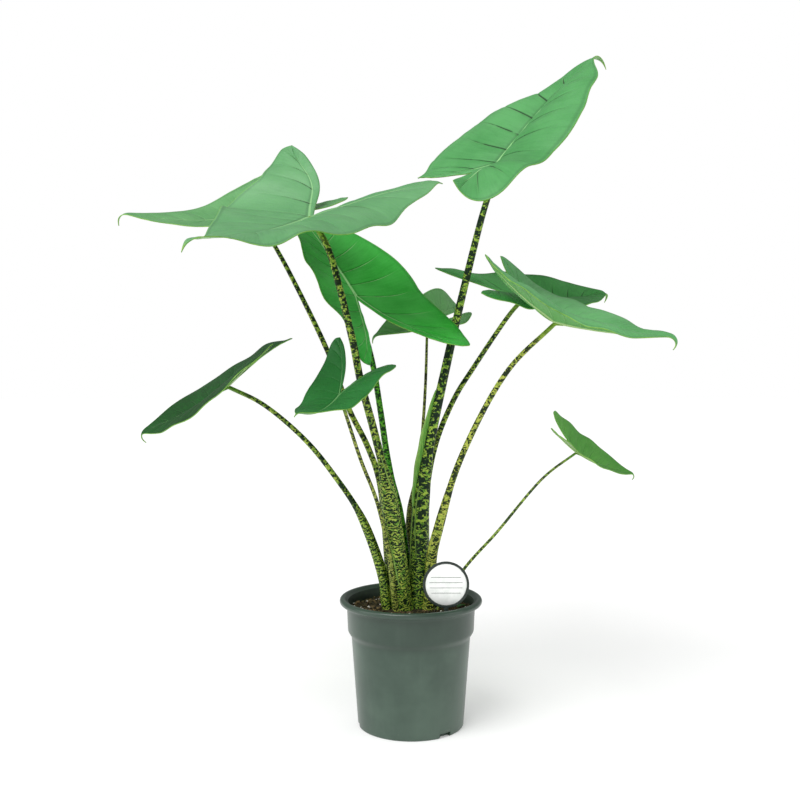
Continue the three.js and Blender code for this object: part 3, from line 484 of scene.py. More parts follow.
def makeBlade(name, leaf, finishes):
    u, v, row, share, sign = flatPoints.T
    sided = np.where(sign >= 0, np.maximum(v, 0), np.minimum(v, -1e-9))
    middle = bendBlade(leaf, u, sided)
    normals = faceNormals(middle, flatFaces)
    scale = leaf["size"] / blade["usualSize"]
    t = np.abs(share)
    offVein = np.abs(row - np.round(row))
    nearTip = 1 - smooth(row, 10, 12.5)
    quilted = smooth(t, 0, 0.25) * (1 - smooth(t, 0.8, 1)) * nearTip
    between = np.sin(np.pi * np.clip(offVein, 0, 0.5)) ** 1.2 * quilted
    creased = smooth(t, 0.012, 0.03) * (1 - smooth(t, 0.55, 1)) * (share >= 0) * nearTip
    onVein = np.exp(-((offVein / blade["veinWidth"]) ** 2)) * creased
    onRib = (1 - smooth(t, 0.008, 0.03)) * np.clip(1.1 - np.abs(u), 0, 1)
    beside = (t - blade["ribEdge"]) / blade["ribEdgeWidth"]
    besideRib = np.exp(-(beside**2)) * np.clip(1.1 - np.abs(u), 0, 1)
    loose = ripple(middle, 0.02, leaf["size"] * 0.37) * smooth(t, 0.3, 1) * 1.6
    loose += ripple(middle, 0.055, leaf["size"]) * 0.5
    body = (blade["quilt"] * between + loose) * scale
    ridge = blade["ribRise"] * (0.5 * onRib - 0.7 * besideRib)
    top = blade["thickness"] / 2 + body + scale * (ridge - blade["crease"] * onVein)
    keel = blade["keel"] * np.clip(1 - np.abs(u), 0, 1) * (1 - smooth(t, 0.0, 0.045))
    bottom = -blade["thickness"] / 2 + body - keel - scale * blade["underVein"] * onVein
    count = len(middle)
    points = np.concatenate((middle + normals * top[:, None], middle + normals * bottom[:, None]))
    faces = [tuple(f) for f in flatFaces] + [tuple(p + count for p in reversed(f)) for f in flatFaces]
    kinds = [0] * len(flatFaces) + [1] * len(flatFaces)
    edges = {}
    for loop in flatFaces:
        for k, p in enumerate(loop):
            q = loop[(k + 1) % len(loop)]
            if edges.pop((q, p), None) is None:
                edges[(p, q)] = True
    for p, q in edges:
        faces.append((p, p + count, q + count, q))
        kinds.append(2)
    both = lambda x: np.concatenate((x, x))
    maps = {"vein": np.stack((both(row / (len(veins) - 1)), both(share)), 1)}
    makePiece(name + "_blade", points * mm, faces, finishes, kinds, maps, [name + "_blade"])


# How a blade looks: its upper face, the lighter patches on it and its under face, in colours from 0 to 255.
# Then how dark the painted shade in the creases is, how strong the painted highlight on the flanks beside
# them, how pale the midrib is, its gloss, and how far the creases reach.
plainBlade = {"crease": 0.3, "ribs": 0.2, "rib": 0.4, "gloss": 0.4, "reach": 0.6}
looks = {
    "leaf_a": dict(plainBlade, upper=(66, 144, 74), light=(88, 164, 94), under=(118, 164, 104),
                   crease=0.95, ribs=0.3, rib=0.8, gloss=0.45, reach=0.95),
    "leaf_b": dict(plainBlade, upper=(86, 149, 93), light=(104, 164, 108), under=(122, 168, 106),
                   crease=0.9, ribs=0.25, rib=0.5, gloss=0.45),
    "leaf_c": dict(plainBlade, upper=(88, 150, 90), light=(108, 168, 106), under=(130, 176, 110),
                   crease=0.4, ribs=0.3, rib=0.5),
    # leaf_d's bright, saturated green is partly painted light: on top of its own colour it stands in for
    # light shining through the blade
    "leaf_d": dict(plainBlade, upper=(26, 146, 34), light=(66, 174, 70), under=(92, 166, 70),
                   crease=0.5, ribs=1.3, rib=0.8, gloss=0.3, reach=0.9),
    "leaf_e": dict(plainBlade, upper=(38, 122, 46), light=(68, 150, 72), under=(100, 156, 80),
                   crease=0.75, rib=0.5, gloss=0.35, reach=0.75),
    "leaf_f": dict(plainBlade, upper=(78, 150, 84), light=(104, 172, 108), under=(86, 152, 76),
                   rib=0.7),
    "leaf_g": dict(plainBlade, upper=(4, 62, 8), light=(14, 80, 20), under=(34, 92, 28),
                   crease=0.2, ribs=0.1, rib=0.3, gloss=0.35),
    "leaf_h": dict(plainBlade, upper=(24, 100, 38), light=(42, 118, 54), under=(84, 136, 76),
                   crease=0.15, ribs=0.1, rib=0.35, gloss=0.3),
    "leaf_i": dict(plainBlade, upper=(68, 138, 50), light=(96, 162, 68), under=(112, 158, 74),
                   crease=0.4, ribs=0.4, rib=0.6),
    "leaf_j": dict(plainBlade, upper=(90, 146, 88), light=(108, 162, 102), under=(108, 152, 98),
                   ribs=0.3, gloss=0.35),
}
bladeGrain = {"wander": 40, "patches": 11, "streaks": 1.6, "fine": 420, "net": 170, "gloss": 60}  # per metre


def bladeFinish(name, look, upper):
    finish = Finish(name, Specular_IOR_Level=look["gloss"], Subsurface_Weight=0.06, Subsurface_Scale=0.004,
                    Subsurface_Radius=(0.6, 1.0, 0.3))
    row, share = finish.uv("vein")
    row = row * (len(veins) - 1)
    t = abs(share)
    place = finish.place()
    off = row - row.sum("ROUND", row)
    onMargin = finish.step(share, -0.02, 0.02)
    wander = finish.noise(place, bladeGrain["wander"], 2)
    fade = (1 - finish.step(t, look["reach"] * 0.4, look["reach"])) * onMargin * finish.step(wander, 0.2, 0.5)
    patches = finish.noise(place, bladeGrain["patches"], 3, 0.55)
    streaks = finish.node("CombineXYZ", {}, {0: row * 7, 1: t * 1.5})
    streaks = finish.noise(streaks, bladeGrain["streaks"], 3, 0.6)
    grain = finish.noise(place, bladeGrain["fine"], 3, 0.6)
    base = paint(*look["upper" if upper else "under"])
    light = paint(*look["light"]) if upper else paint(*(min(c + 16, 255) for c in look["under"]))
    deep = tuple(c * 0.22 for c in base[:3]) + (1,)
    colour = finish.blend(finish.step(patches, 0.3, 0.72), base, light)
    colour = finish.blend(finish.step(streaks, 0.42, 0.75) * 0.45, colour, light)
    colour = finish.blend(finish.step(streaks, 0.5, 0.25) * 0.14, colour, deep)
    colour = finish.blend(finish.step(grain, 0.35, 0.8) * 0.2, colour, light)
    # the fine net between the side veins
    net = finish.cells(place, bladeGrain["net"])
    netLine = 1 - finish.step(net, 0.0, 0.12)
    colour = finish.blend(netLine * (0.12 if upper else 0.08), colour, light if upper else deep)
    # a side vein is a dark crease beside a narrow light flank: the dark is painted shade in the groove; on
    # the upper face the light flank is a painted highlight on the groove's side, on the under face the pale
    # raised rib
    apart = abs(off - 0.012) / (1.15 - t)
    crease = (1 - finish.step(apart, 0.016, 0.052)) * fade
    flank = finish.step(off, -0.04, -0.016) * (1 - finish.step(off, -0.012, 0.0)) * fade
    besideRib = finish.step(abs(off), 0.24, 0.5) * (1 - finish.step(t, 0.1, 0.5)) * onMargin
    colour = finish.blend(besideRib * 0.2, colour, light)
    ribColour = paint(160, 212, 144) if upper else paint(168, 198, 130)
    # painted highlight on the upper face's flanks; on the under face, the pale raised ribs
    colour = finish.blend(flank * (look["ribs"] if upper else 0.6), colour, ribColour)
    # painted shade in the creases
    colour = finish.blend(crease * (look["crease"] if upper else 0.15), colour, deep)
    rib = (1 - finish.step(t, 0.021, 0.034)) * (1 - finish.step(row, 9.5, 13) * 0.7)
    colour = finish.blend(rib * (look["rib"] if upper else 0.85), colour, ribColour)
    shade = finish.step(t, 0.028, 0.04) * (1 - finish.step(t, 0.045, 0.08))
    colour = finish.blend(shade * (0.3 if upper else 0.1), colour, deep)
    # yellow-green tip, and the margin's thin line with a darker band inside it
    tip = finish.step(row, 12.1, 12.9)
    colour = finish.blend(tip * 0.85, colour, paint(150, 184, 60))
    band = finish.step(t, 0.93, 0.965) * (1 - finish.step(t, 0.972, 0.985))
    colour = finish.blend(band * 0.25, colour, deep)
    margin = finish.step(t, 0.984, 0.997)
    colour = finish.blend(margin * 0.45, colour, paint(128, 176, 74))
    relief = finish.bump(grain, 0.2, 0.0005)
    relief = finish.bump(net, 0.25, 0.0006, relief)
    rough = 0.42 + finish.noise(place, bladeGrain["gloss"], 2) * 0.16 + crease * 0.3
    return finish.give(Base_Color=colour, Roughness=rough, Normal=relief)


bladeRim = mottled("blade_margin", dark=(92, 148, 52), light=(132, 180, 76), gloss=0.3, grain=(90, 2),
                   rough=(0.5, 0.1))
for name, leaf in leaves.items():
    upper = bladeFinish(name + "_upper_side", looks[name], True)
    under = bladeFinish(name + "_under_side", looks[name], False)
    makeBlade(name, leaf, [upper, under, bladeRim])
print("blades: ten, with", len(flatFaces) * 2, "faces each")

# Stalks

stalk = {
    "shoulder": 0.05, "rings": 150, "sides": 30, "lip": 1.5, "endLength": 26,
    "bandSpacing": (4.8, 8.5),  # millimetres from band to band, at the foot and high up
}
sheathEdges = {  # where the sheath's open edge faces at the foot, in degrees, 270 being the front
    "leaf_a": 200, "leaf_b": 312, "leaf_c": 250, "leaf_d": 300, "leaf_e": 250, "leaf_f": 230,
    "leaf_g": 300, "leaf_h": 330, "leaf_i": 200, "leaf_j": 260,
}


def stalkRadius(leaf, along):
    foot, sheath, neck, top = leaf["radius"]
    end = leaf["sheathEnd"]
    start = end + stalk["shoulder"]
    low = mix(foot, sheath, np.clip(along / end, 0, 1))
    high = mix(neck, top, np.clip((along - start) / (1 - start), 0, 1))
    return mix(low, high, smooth(along, end - 0.02, start + 0.04))


def stalkLine(leaf):  # a centripetal curve through the route, in even steps
    up = bladeAxes(leaf)[2]
    end = bendBlade(leaf, np.zeros(1), np.zeros(1))[0] - up * (blade["thickness"] / 2 + blade["keel"] + 0.3)
    knots = [np.array(p, float) for p in leaf["route"]] + [end]
    knots = [2 * knots[0] - knots[1]] + knots + [2 * knots[-1] - knots[-2]]
    dense = []
    for a, b, c, d in zip(knots, knots[1:], knots[2:], knots[3:]):
        gaps = [max(np.linalg.norm(q - p) ** 0.5, 1e-4) for p, q in ((a, b), (b, c), (c, d))]
        first = ((b - a) / gaps[0] - (c - a) / (gaps[0] + gaps[1]) + (c - b) / gaps[1]) * gaps[1]
        second = ((c - b) / gaps[1] - (d - b) / (gaps[1] + gaps[2]) + (d - c) / gaps[2]) * gaps[1]
        square, cube = 3 * (c - b) - 2 * first - second, 2 * (b - c) + first + second
        dense += [b + first * t + square * t**2 + cube * t**3 for t in np.linspace(0, 1, 24, endpoint=False)]
    dense = np.array(dense + [knots[-2]])
    length = np.concatenate(([0], np.cumsum(np.linalg.norm(np.diff(dense, axis=0), axis=1))))
    even = np.linspace(0, length[-1], stalk["rings"])
    return np.stack([np.interp(even, length, dense[:, k]) for k in range(3)], 1)


def turnedFrames(line, facing):  # side directions that follow the line without twisting
    tangents = lineTangents(line)
    side = np.array((math.cos(facing), math.sin(facing), 0.0))
    sides = []
    for tangent in tangents:
        side = unit(side - tangent * side.dot(tangent))
        sides.append(side)
    return np.array(sides), np.cross(tangents, sides)


def makeStalk(name, leaf, finishes):
    line = stalkLine(leaf)
    along = np.linspace(0, 1, len(line))
    radius = stalkRadius(leaf, along)
    # the end runs on under the midrib and thins out into it
    extra = 10
    runs = np.linspace(0, 1, extra + 1)[1:]
    reach = stalk["endLength"] * leaf["size"] / blade["usualSize"]
    rib = bendBlade(leaf, runs * reach / leaf["size"], np.zeros(extra))
    line = np.concatenate((line, rib - bladeAxes(leaf)[2] * mix(2.2, 1.2, runs)[:, None]))
    along = np.concatenate((along, 1 + runs * 0.001))
    radius = np.concatenate((radius, mix(radius[-1], 0.9, runs**0.7)))
    line[1:-1] = 0.25 * line[:-2] + 0.5 * line[1:-1] + 0.25 * line[2:]
    sides, fronts = turnedFrames(line, math.radians(sheathEdges[name]))
    inSheath = 1 - smooth(along, leaf["sheathEnd"] - 0.03, leaf["sheathEnd"] + 0.05)
    n = stalk["sides"]
    turn = np.linspace(0, 2 * math.pi, n + 1)
    share = turn / (2 * math.pi)
    points, bands = [], []
    run = np.concatenate(([0], np.cumsum(np.linalg.norm(np.diff(line, axis=0), axis=1))))
    spacing = mix(*stalk["bandSpacing"], smooth(along, leaf["sheathEnd"] * 0.5, 0.75))
    phase = np.concatenate(([0], np.cumsum(np.diff(run) / spacing[1:])))
    for i in range(len(line)):
        lip = stalk["lip"] * inSheath[i] * min(1, radius[i] / 12)
        r = radius[i] + lip * (share - 0.5)
        r += 0.25 * np.sin(turn * 9 + i * 0.01) * min(1, radius[i] / 8) * (1 - inSheath[i])
        ring = line[i] + r[:, None] * (np.cos(turn)[:, None] * sides[i] + np.sin(turn)[:, None] * fronts[i])
        points.append(ring)
        bands.append(np.stack((np.full(n + 1, phase[i]), np.full(n + 1, min(along[i], 1))), 1))
    points = np.concatenate(points)
    faces = tubeFaces(len(line), n + 1)
    kinds = [1 if k % (n + 1) == n else 0 for k in range(len(faces) - 2)] + [0, 0]
    maps = {"bands": np.concatenate(bands)}
    makePiece(name + "_stalk", points * mm, faces, finishes, kinds, maps, [name + "_stalk"])


# How a stalk looks: its dark marks, light ground, yellow spots and plain green top. Then the size of the
# marks, the height in metres below which they are fine, and how much the dark covers the light.
stalkLooks = {
    "leaf_a": dict(dark=(10, 38, 16), light=(94, 142, 44), spots=(156, 184, 66), plain=(96, 150, 40),
                   size=1.0, fine=0.25, cover=0.2),
    "leaf_b": dict(dark=(10, 34, 8), light=(96, 142, 42), spots=(160, 180, 70), plain=(112, 156, 46),
                   size=0.95, fine=0.385, cover=0.06),
    "leaf_c": dict(dark=(12, 34, 8), light=(98, 136, 42), spots=(158, 176, 68), plain=(104, 138, 44),
                   size=0.85, fine=0.33, cover=0.06),
    "leaf_d": dict(dark=(4, 50, 4), light=(56, 142, 22), spots=(96, 170, 38), plain=(52, 138, 22),
                   size=0.8, fine=0.28, cover=0.0),
    "leaf_e": dict(dark=(14, 40, 8), light=(104, 144, 44), spots=(156, 176, 66), plain=(104, 140, 46),
                   size=0.8, fine=0.26, cover=0.08),
    "leaf_f": dict(dark=(24, 42, 10), light=(132, 154, 52), spots=(176, 184, 78), plain=(122, 160, 48),
                   size=0.9, fine=0.25, cover=0.02),
    "leaf_g": dict(dark=(12, 42, 8), light=(98, 140, 44), spots=(154, 176, 68), plain=(98, 148, 46),
                   size=0.8, fine=0.31, cover=0.04),
    "leaf_h": dict(dark=(34, 48, 14), light=(118, 142, 52), spots=(160, 168, 78), plain=(100, 142, 46),
                   size=0.6, fine=0.24, cover=0.0),
    "leaf_i": dict(dark=(38, 62, 18), light=(112, 146, 50), spots=(156, 174, 78), plain=(104, 150, 54),
                   size=0.6, fine=0.2, cover=0.0),
    "leaf_j": dict(dark=(38, 42, 16), light=(116, 130, 54), spots=(150, 156, 78), plain=(104, 130, 54),
                   size=0.6, fine=0.35, cover=0.0),
}
stalkGrain = {"blotches": 112, "marks": 165, "wander": 110, "shake": 320, "spots": 190}  # per metre


def stalkFinish(name, look):
    finish = Finish(name, Specular_IOR_Level=0.25, Subsurface_Weight=0.03, Subsurface_Scale=0.003)
    place = finish.place()
    phase, along = finish.uv("bands")
    _, _, height = finish.parts(place)
    low = 1 - finish.step(height, look["fine"] - 0.025, look["fine"] + 0.04)
    squeezed = finish.stretch(place, (1, 1, 1.5))
    # high up: loose blotches; low down: short wavy marks lying across the sheath
    blotches = finish.noise(squeezed, stalkGrain["blotches"] / look["size"], 2.2, 0.55, 0.7)
    shake = finish.noise(place, stalkGrain["shake"], 1)
    wander = finish.noise(place, stalkGrain["wander"]) * 4.2 + shake * 0.9
    swing = (phase + wander) * (2 * math.pi)
    waves = swing.sum("SINE", swing)
    marks = finish.noise(finish.stretch(place, (1, 1, 1.7)), stalkGrain["marks"], 2, 0.6, 0.8)
    high = (blotches - 0.5) * 4.8 + waves * 0.3
    fine = waves * 0.74 + (marks - 0.5) * 3.1
    cover = high * (1 - low) + fine * low
    dark = finish.step(cover + look["cover"], -0.14, 0.08)
    plain = finish.step(along, 0.9, 0.99)
    spotted = finish.noise(squeezed, stalkGrain["spots"] / look["size"])
    ground = finish.blend(finish.step(spotted, 0.4, 0.56), paint(*look["light"]), paint(*look["spots"]))
    ground = finish.blend(plain, ground, paint(*look["plain"]))
    soft = paint(*(c * 0.45 + 8 for c in look["light"]))
    faded = finish.step(finish.noise(place, 260), 0.5, 0.75) * 0.35
    deep = finish.blend(faded, paint(*look["dark"]), soft)
    colour = finish.blend(dark * (1 - plain * 0.75), ground, deep)
    relief = finish.bump(1 - dark, 0.3, 0.0004)
    relief = finish.bump(finish.noise(place, 900, 2), 0.2, 0.0002, relief)
    return finish.give(Base_Color=colour, Roughness=0.42 + dark * 0.12, Normal=relief)


sheathMargins = [  # a stalk, and its line as (height in mm, place across the front from -1 to 1), width in mm
    ("leaf_b", ((414, 0.02), (406, 0.2), (374, 0.45), (344, 0.86)), 1.9),
    ("leaf_b", ((308, -0.86), (262, -0.42), (214, -0.05)), 3.4),
    ("leaf_a", ((352, -0.5), (326, -0.62), (290, -0.55), (250, -0.3)), 1.6),
    ("leaf_e", ((300, -0.4), (262, 0.1), (226, 0.5)), 1.5),
]


def makeSheathMargins(finish):  # slender raised edges where one sheath overlaps the next turn of itself
    points, faces = [], []
    for name, stops, width in sheathMargins:
        leaf = leaves[name]
        line = stalkLine(leaf)
        heights, shares = np.array(stops).T[:, ::-1]
        start = len(points)
        rows = 48
        for k in range(rows + 1):
            z = mix(stops[0][0], stops[-1][0], k / rows)
            at = np.interp(z, line[:, 2], np.arange(len(line)))
            centre = pointAlong(line, at)
            tangent = unit(line[int(at) + 1] - line[int(at)])
            facing = math.asin(np.interp(z, heights, shares)) - math.pi / 2
            out = np.array((math.cos(facing), math.sin(facing), 0.0))
            out = unit(out - tangent * out.dot(tangent))
            across = np.cross(out, tangent)
            radius = stalkRadius(leaf, np.array([at / (len(line) - 1)]))[0]
            half = width / 2 * math.sin(math.pi * (0.06 + 0.88 * k / rows)) ** 0.5
            for side, rise in ((-1, -0.9), (1, -0.9), (0.8, 0.85), (-0.8, 1.1)):
                points.append(centre + across * half * side + out * (radius + rise))
        faces += tubeFaces(rows + 1, 4, start)
    makePiece("sheath_margins", np.array(points) * mm, faces, [finish])


sheathLip = mottled("sheath_lip", dark=(92, 132, 50), light=(136, 168, 78), gloss=0.4, grain=(160, 3),
                    rough=(0.5, 0.1))
for name, leaf in leaves.items():
    makeStalk(name, leaf, [stalkFinish(name + "_banded", stalkLooks[name]), sheathLip])
makeSheathMargins(sheathLip)
print("stalks: ten, with scrolled sheaths and their pale margins")

# Papery sheath wing

wing = {  # where on the stalk it starts and ends, millimetres, and the side it stands on in degrees
    "from": 0.25, "to": 0.5, "least": 2, "width": 8, "thickness": 1.2, "side": 205, "wave": 1.2, "steps": 90,
    "across": 8,
}


def wingFinish():
    finish = Finish("sheath_wing", Specular_IOR_Level=0.35, Subsurface_Weight=0.1, Subsurface_Scale=0.003)
    across, along = finish.uv("wing")
    place = finish.place()
    streaks = finish.noise(finish.stretch(place, (1, 1, 0.08)), 500, 3)
    colour = finish.blend(finish.step(streaks, 0.35, 0.7), paint(86, 146, 50), paint(126, 176, 76))
    colour = finish.blend(finish.step(across, 0.55, 1.0) * 0.5, colour, paint(160, 194, 116))
    relief = finish.bump(streaks, 0.3, 0.0004)
    return finish.give(Base_Color=colour, Roughness=0.55 + streaks * 0.1, Normal=relief)


def makeWing(leaf):
    line = stalkLine(leaf)
    tangents = lineTangents(line)
    facing = math.radians(wing["side"])
    outward = np.array((math.cos(facing), math.sin(facing), 0))
    rings, maps = [], []
    for t in np.linspace(0, 1, wing["steps"] + 1):
        along = mix(wing["from"], wing["to"], t)
        k = along * (len(line) - 1)
        tangent = tangents[int(round(k))]
        out = unit(outward - tangent * outward.dot(tangent))
        thick = np.cross(tangent, out)
        root = pointAlong(line, k) + out * (float(stalkRadius(leaf, np.array([along]))[0]) - 0.2)
        width = (wing["least"] + wing["width"] * math.sin(math.pi * t) ** 0.8) * (1 + 0.05 * math.sin(23 * t))
        ring, mapping = [], []
        for face in (1, -1):
            shares = np.linspace(0, 1, wing["across"])
            for share in shares if face > 0 else shares[::-1]:
                cup = 0.9 * math.sin(math.pi * share) + wing["wave"] * math.sin(t * 3 * math.pi) * share
                half = wing["thickness"] / 2 * (1 - 0.6 * share)
                ring.append(root + out * width * share + thick * (cup * 0.6 + face * half))
                mapping.append((share, t))
        rings.append(ring)
        maps.append(mapping)
    n = len(rings[0])
    faces = [f[::-1] for f in tubeFaces(len(rings), n)]
    points, maps = np.array(rings).reshape(-1, 3), {"wing": np.array(maps).reshape(-1, 2)}
    makePiece("leaf_a_sheath_wing", points * mm, faces, [wingFinish()], maps=maps,
              stands=["leaf_a_sheath_wing"])


makeWing(leaves["leaf_a"])
print("sheath wing: done")

# Pot

pot = {
    "height": 192, "wall": 1.8, "segments": 192, "rimRadius": 106.3, "rimRoll": 4.8, "collarTopRadius": 95.8,
    "collarBottomRadius": 94.2, "collarBottom": 145, "bodyTopRadius": 88.6, "bodyTop": 132, "baseRadius": 79,
    "baseChamfer": 2.5, "floor": 2.4, "channelRise": 5, "footRadius": 34, "channelRadius": 66, "slope": 2,
    "drainHoles": 6, "drainRadius": 6, "drainCircle": 50, "notches": 3, "notchWidth": 20, "notchHeight": 6.5,
    "firstNotch": -51.5,
}


def potWall(z):  # the outer radius at a height: body, step or collar
    bodyTop, collar, top = pot["bodyTop"], pot["collarBottom"], pot["height"] - 2 * pot["rimRoll"]
    if z > collar:
        share = min((z - collar) / (top - collar), 1)
        return float(mix(pot["collarBottomRadius"], pot["collarTopRadius"], share))
    if z > bodyTop:
        return float(mix(pot["bodyTopRadius"], pot["collarBottomRadius"], smooth(z, bodyTop, collar)))
    return float(mix(pot["baseRadius"], pot["bodyTopRadius"], z / bodyTop))


def potProfile():  # out under the base, up the wall, round the rim, down inside and in over the floor
    height, wall, floor, rise, slope = (pot[k] for k in ("height", "wall", "floor", "channelRise", "slope"))
    foot, channel, chamfer, roll = (pot[k] for k in ("footRadius", "channelRadius", "baseChamfer", "rimRoll"))
    points = [(0, 0), (foot, 0), (foot + slope, rise), (channel, rise), (channel + slope, 0)]
    points.append((pot["baseRadius"] - chamfer, 0))
    outward, rimMiddle = potWall(chamfer) - chamfer, pot["rimRadius"] - roll
    for angle in range(-80, 1, 16):
        turn = math.radians(angle)
        points.append((outward + chamfer * math.cos(turn), chamfer + chamfer * math.sin(turn)))
    heights = [*np.linspace(6, 128, 20), *np.linspace(pot["bodyTop"], pot["collarBottom"], 9)]
    points += [(potWall(z), z) for z in [*heights, *np.linspace(148, height - 2 * roll - 1, 7)]]
    for angle in range(-95, 166, 13):
        turn = math.radians(angle)
        points.append((rimMiddle + roll * math.cos(turn), height - roll + roll * math.sin(turn)))
    inner = [height - roll, 176, 168, 160, 150, 145, 141, 137, 132, 110, 80, 50, 20, floor + 1]
    points += [(potWall(z) - wall - (0.2 if z > 180 else 0), z) for z in inner]
    points += [(potWall(floor) - wall - 1, floor), (channel + slope + floor, floor)]
    points += [(channel + floor, rise + floor), (foot - floor, rise + floor)]
    return points + [(foot - floor - slope, floor), (0, floor)]


def lathe(profile, segments):
    points, faces, rows = [], [], []
    turns = [2 * math.pi * k / segments for k in range(segments)]
    for r, z in profile:
        if r < 1e-6:
            rows.append([len(points)])
            points.append((0, 0, z))
        else:
            rows.append(list(range(len(points), len(points) + segments)))
            points += [(r * math.cos(a), r * math.sin(a), z) for a in turns]
    for low, high in zip(rows, rows[1:]):
        for k in range(segments):
            a, b = low[k % len(low)], low[(k + 1) % len(low)]
            c, d = high[(k + 1) % len(high)], high[k % len(high)]
            loop = [x for i, x in enumerate((a, b, c, d)) if x not in (a, b, c, d)[:i]]
            faces.append(tuple(loop))
    return np.array(points, float), faces


def cutWith(piece, cutters):
    for cutter in cutters:
        cut = piece.modifiers.new("cut", "BOOLEAN")
        cut.operation, cut.solver, cut.object = "DIFFERENCE", "EXACT", cutter
    graph = bpy.context.evaluated_depsgraph_get()
    mesh = bpy.data.meshes.new_from_object(piece.evaluated_get(graph))
    piece.modifiers.clear()
    piece.data = mesh
    for cutter in cutters:
        bpy.data.objects.remove(cutter)


def blockCutter(size, matrix):
    x, y, z = (s / 2 * mm for s in size)
    corners = [(a * x, b * y, c * z) for a in (-1, 1) for b in (-1, 1) for c in (-1, 1)]
    sides = [(0, 1, 3, 2), (4, 6, 7, 5), (0, 4, 5, 1), (2, 3, 7, 6), (0, 2, 6, 4), (1, 5, 7, 3)]
    cutter = addObject("cutter", corners, sides)
    cutter.matrix_world = matrix
    return cutter


def drainCutter(turn):
    points, faces = lathe([(0, -4), (pot["drainRadius"], -4), (pot["drainRadius"], 16), (0, 16)], 32)
    centre = pot["drainCircle"] * np.array((math.cos(turn), math.sin(turn), 0))
    return addObject("cutter", (points + centre) * mm, faces)


def potFinish():
    finish = Finish("pot_plastic", Specular_IOR_Level=0.5, IOR=1.5)
    place = finish.place()
    cloud = finish.noise(place, 9, 4, 0.6)
    drag = finish.noise(finish.stretch(place, (1, 1, 0.1)), 90, 3, 0.6)
    specks = finish.noise(place, 620, 2, 0.7)
    _, _, height = finish.parts(place)
    colour = finish.blend(finish.step(cloud, 0.3, 0.7), paint(52, 71, 60), paint(72, 92, 79))
    colour = finish.blend(finish.step(drag, 0.5, 0.8) * 0.18, colour, paint(84, 100, 90))
    # the collar and the step under it are painted darker: painted shade from the rim above
    colour = finish.blend(finish.step(height, 0.124, 0.14) * 0.45, colour, paint(36, 52, 42))
    splash = finish.step(finish.noise(place, 260, 3, 0.7), 0.62, 0.74) * 0.25
    splash = splash * (1 - finish.step(height, 0.0, 0.05))
    colour = finish.blend(splash, colour, paint(104, 106, 92))
    dust = finish.step(specks, 0.68, 0.78) * 0.22
    colour = finish.blend(dust, colour, paint(116, 130, 120))
    relief = finish.bump(specks, 0.1, 0.0002)
    return finish.give(Base_Color=colour, Roughness=0.27 + cloud * 0.1 + dust * 0.3, Normal=relief)


def makePot():
    profile = potProfile()
    points, faces = lathe(profile, pot["segments"])
    row = np.arange(len(faces)) // pot["segments"]
    firstInner = 1 + max(k for k, (r, z) in enumerate(profile) if z > pot["height"] - pot["rimRoll"] + 1)
    inside = (row >= firstInner).astype(int)
    # the inner wall is the same plastic, rougher, in darker colours: painted shade inside the pot
    insideShade = mottled("pot_inside", dark=(32, 46, 36), light=(52, 66, 54), gloss=0.3, grain=(30, 4, 0.6),
                   rough=(0.5, 0.2), relief=(0.2, 0.0005))
    piece = makePiece("pot", points * mm, faces, [potFinish(), insideShade], inside, stands=["pot"])
    cutters = [drainCutter((k + 0.5) / pot["drainHoles"] * 2 * math.pi) for k in range(pot["drainHoles"])]
    depth = 2 * (3 * pot["wall"] + pot["slope"])
    for k in range(pot["notches"]):
        turn = Matrix.Rotation(math.radians(pot["firstNotch"] + k * 360 / pot["notches"]), 4, "Z")
        spot = turn @ Matrix.Translation((pot["baseRadius"] * mm, 0, 0))
        cutters.append(blockCutter((depth, pot["notchWidth"], 2 * pot["notchHeight"]), spot))
    cutWith(piece, cutters)


makePot()
print("pot: turned, with drain holes and notches")

# Soil and what lies on it

soil = {"level": 173, "mound": 4, "moundRadius": 42, "unevenness": 1.4, "rings": 74, "segments": 220,
        "clearance": 0.6, "sink": 0.3, "fibres": 40, "fibreSteps": 12, "fibreStep": 1.9}
litter = {  # bits on the soil: how many, their sizes in millimetres, how flat they are, and the seed
    "soil_crumbs": {"count": 620, "sizes": (0.9, 2.6), "squash": 0.8, "seed": 11},
    "soil_bark": {"count": 90, "sizes": (2.2, 4.6), "squash": 0.45, "seed": 23},
    "perlite": {"count": 96, "sizes": (0.9, 2.3), "squash": 0.8, "seed": 5},
}
leafBit = {"x": 75, "y": 6, "heading": 0.5, "length": 15, "width": 7, "rows": 15}


def soilHeight(x, y):
    radius = math.hypot(x, y)
    mound = soil["mound"] * math.exp(-((radius / soil["moundRadius"]) ** 2))
    lumps = math.sin(x * 0.11 + 0.6) * math.cos(y * 0.13 - 0.4) + 0.5 * math.sin(x * 0.07 - y * 0.19)
    return soil["level"] + mound + soil["unevenness"] * lumps


def roughHeight(x, y):
    coarse = 1.5 * noise.noise(Vector((x * 0.16, y * 0.16, 1.3)))
    fine = 0.9 * noise.noise(Vector((x * 0.42, y * 0.42, 7.1))) + 0.5 * noise.noise(Vector((x, y, 4.0)))
    return soilHeight(x, y) + coarse + fine


def soilFinish(name, dark, light):
    finish = Finish(name, Specular_IOR_Level=0.25)
    place = finish.place()
    lumps = finish.noise(place, 240, 4, 0.65)
    spots = finish.noise(place, 900, 2, 0.6)
    colour = finish.blend(finish.step(lumps, 0.3, 0.75), paint(*dark), paint(*light))
    pale = paint(*(min(255, c * 2.1) for c in light))
    colour = finish.blend(finish.step(spots, 0.6, 0.72) * 0.6, colour, pale)
    relief = finish.bump(lumps, 0.8, 0.0012)
    relief = finish.bump(spots, 0.5, 0.0005, relief)
    return finish.give(Base_Color=colour, Roughness=0.78 + lumps * 0.2, Normal=relief)


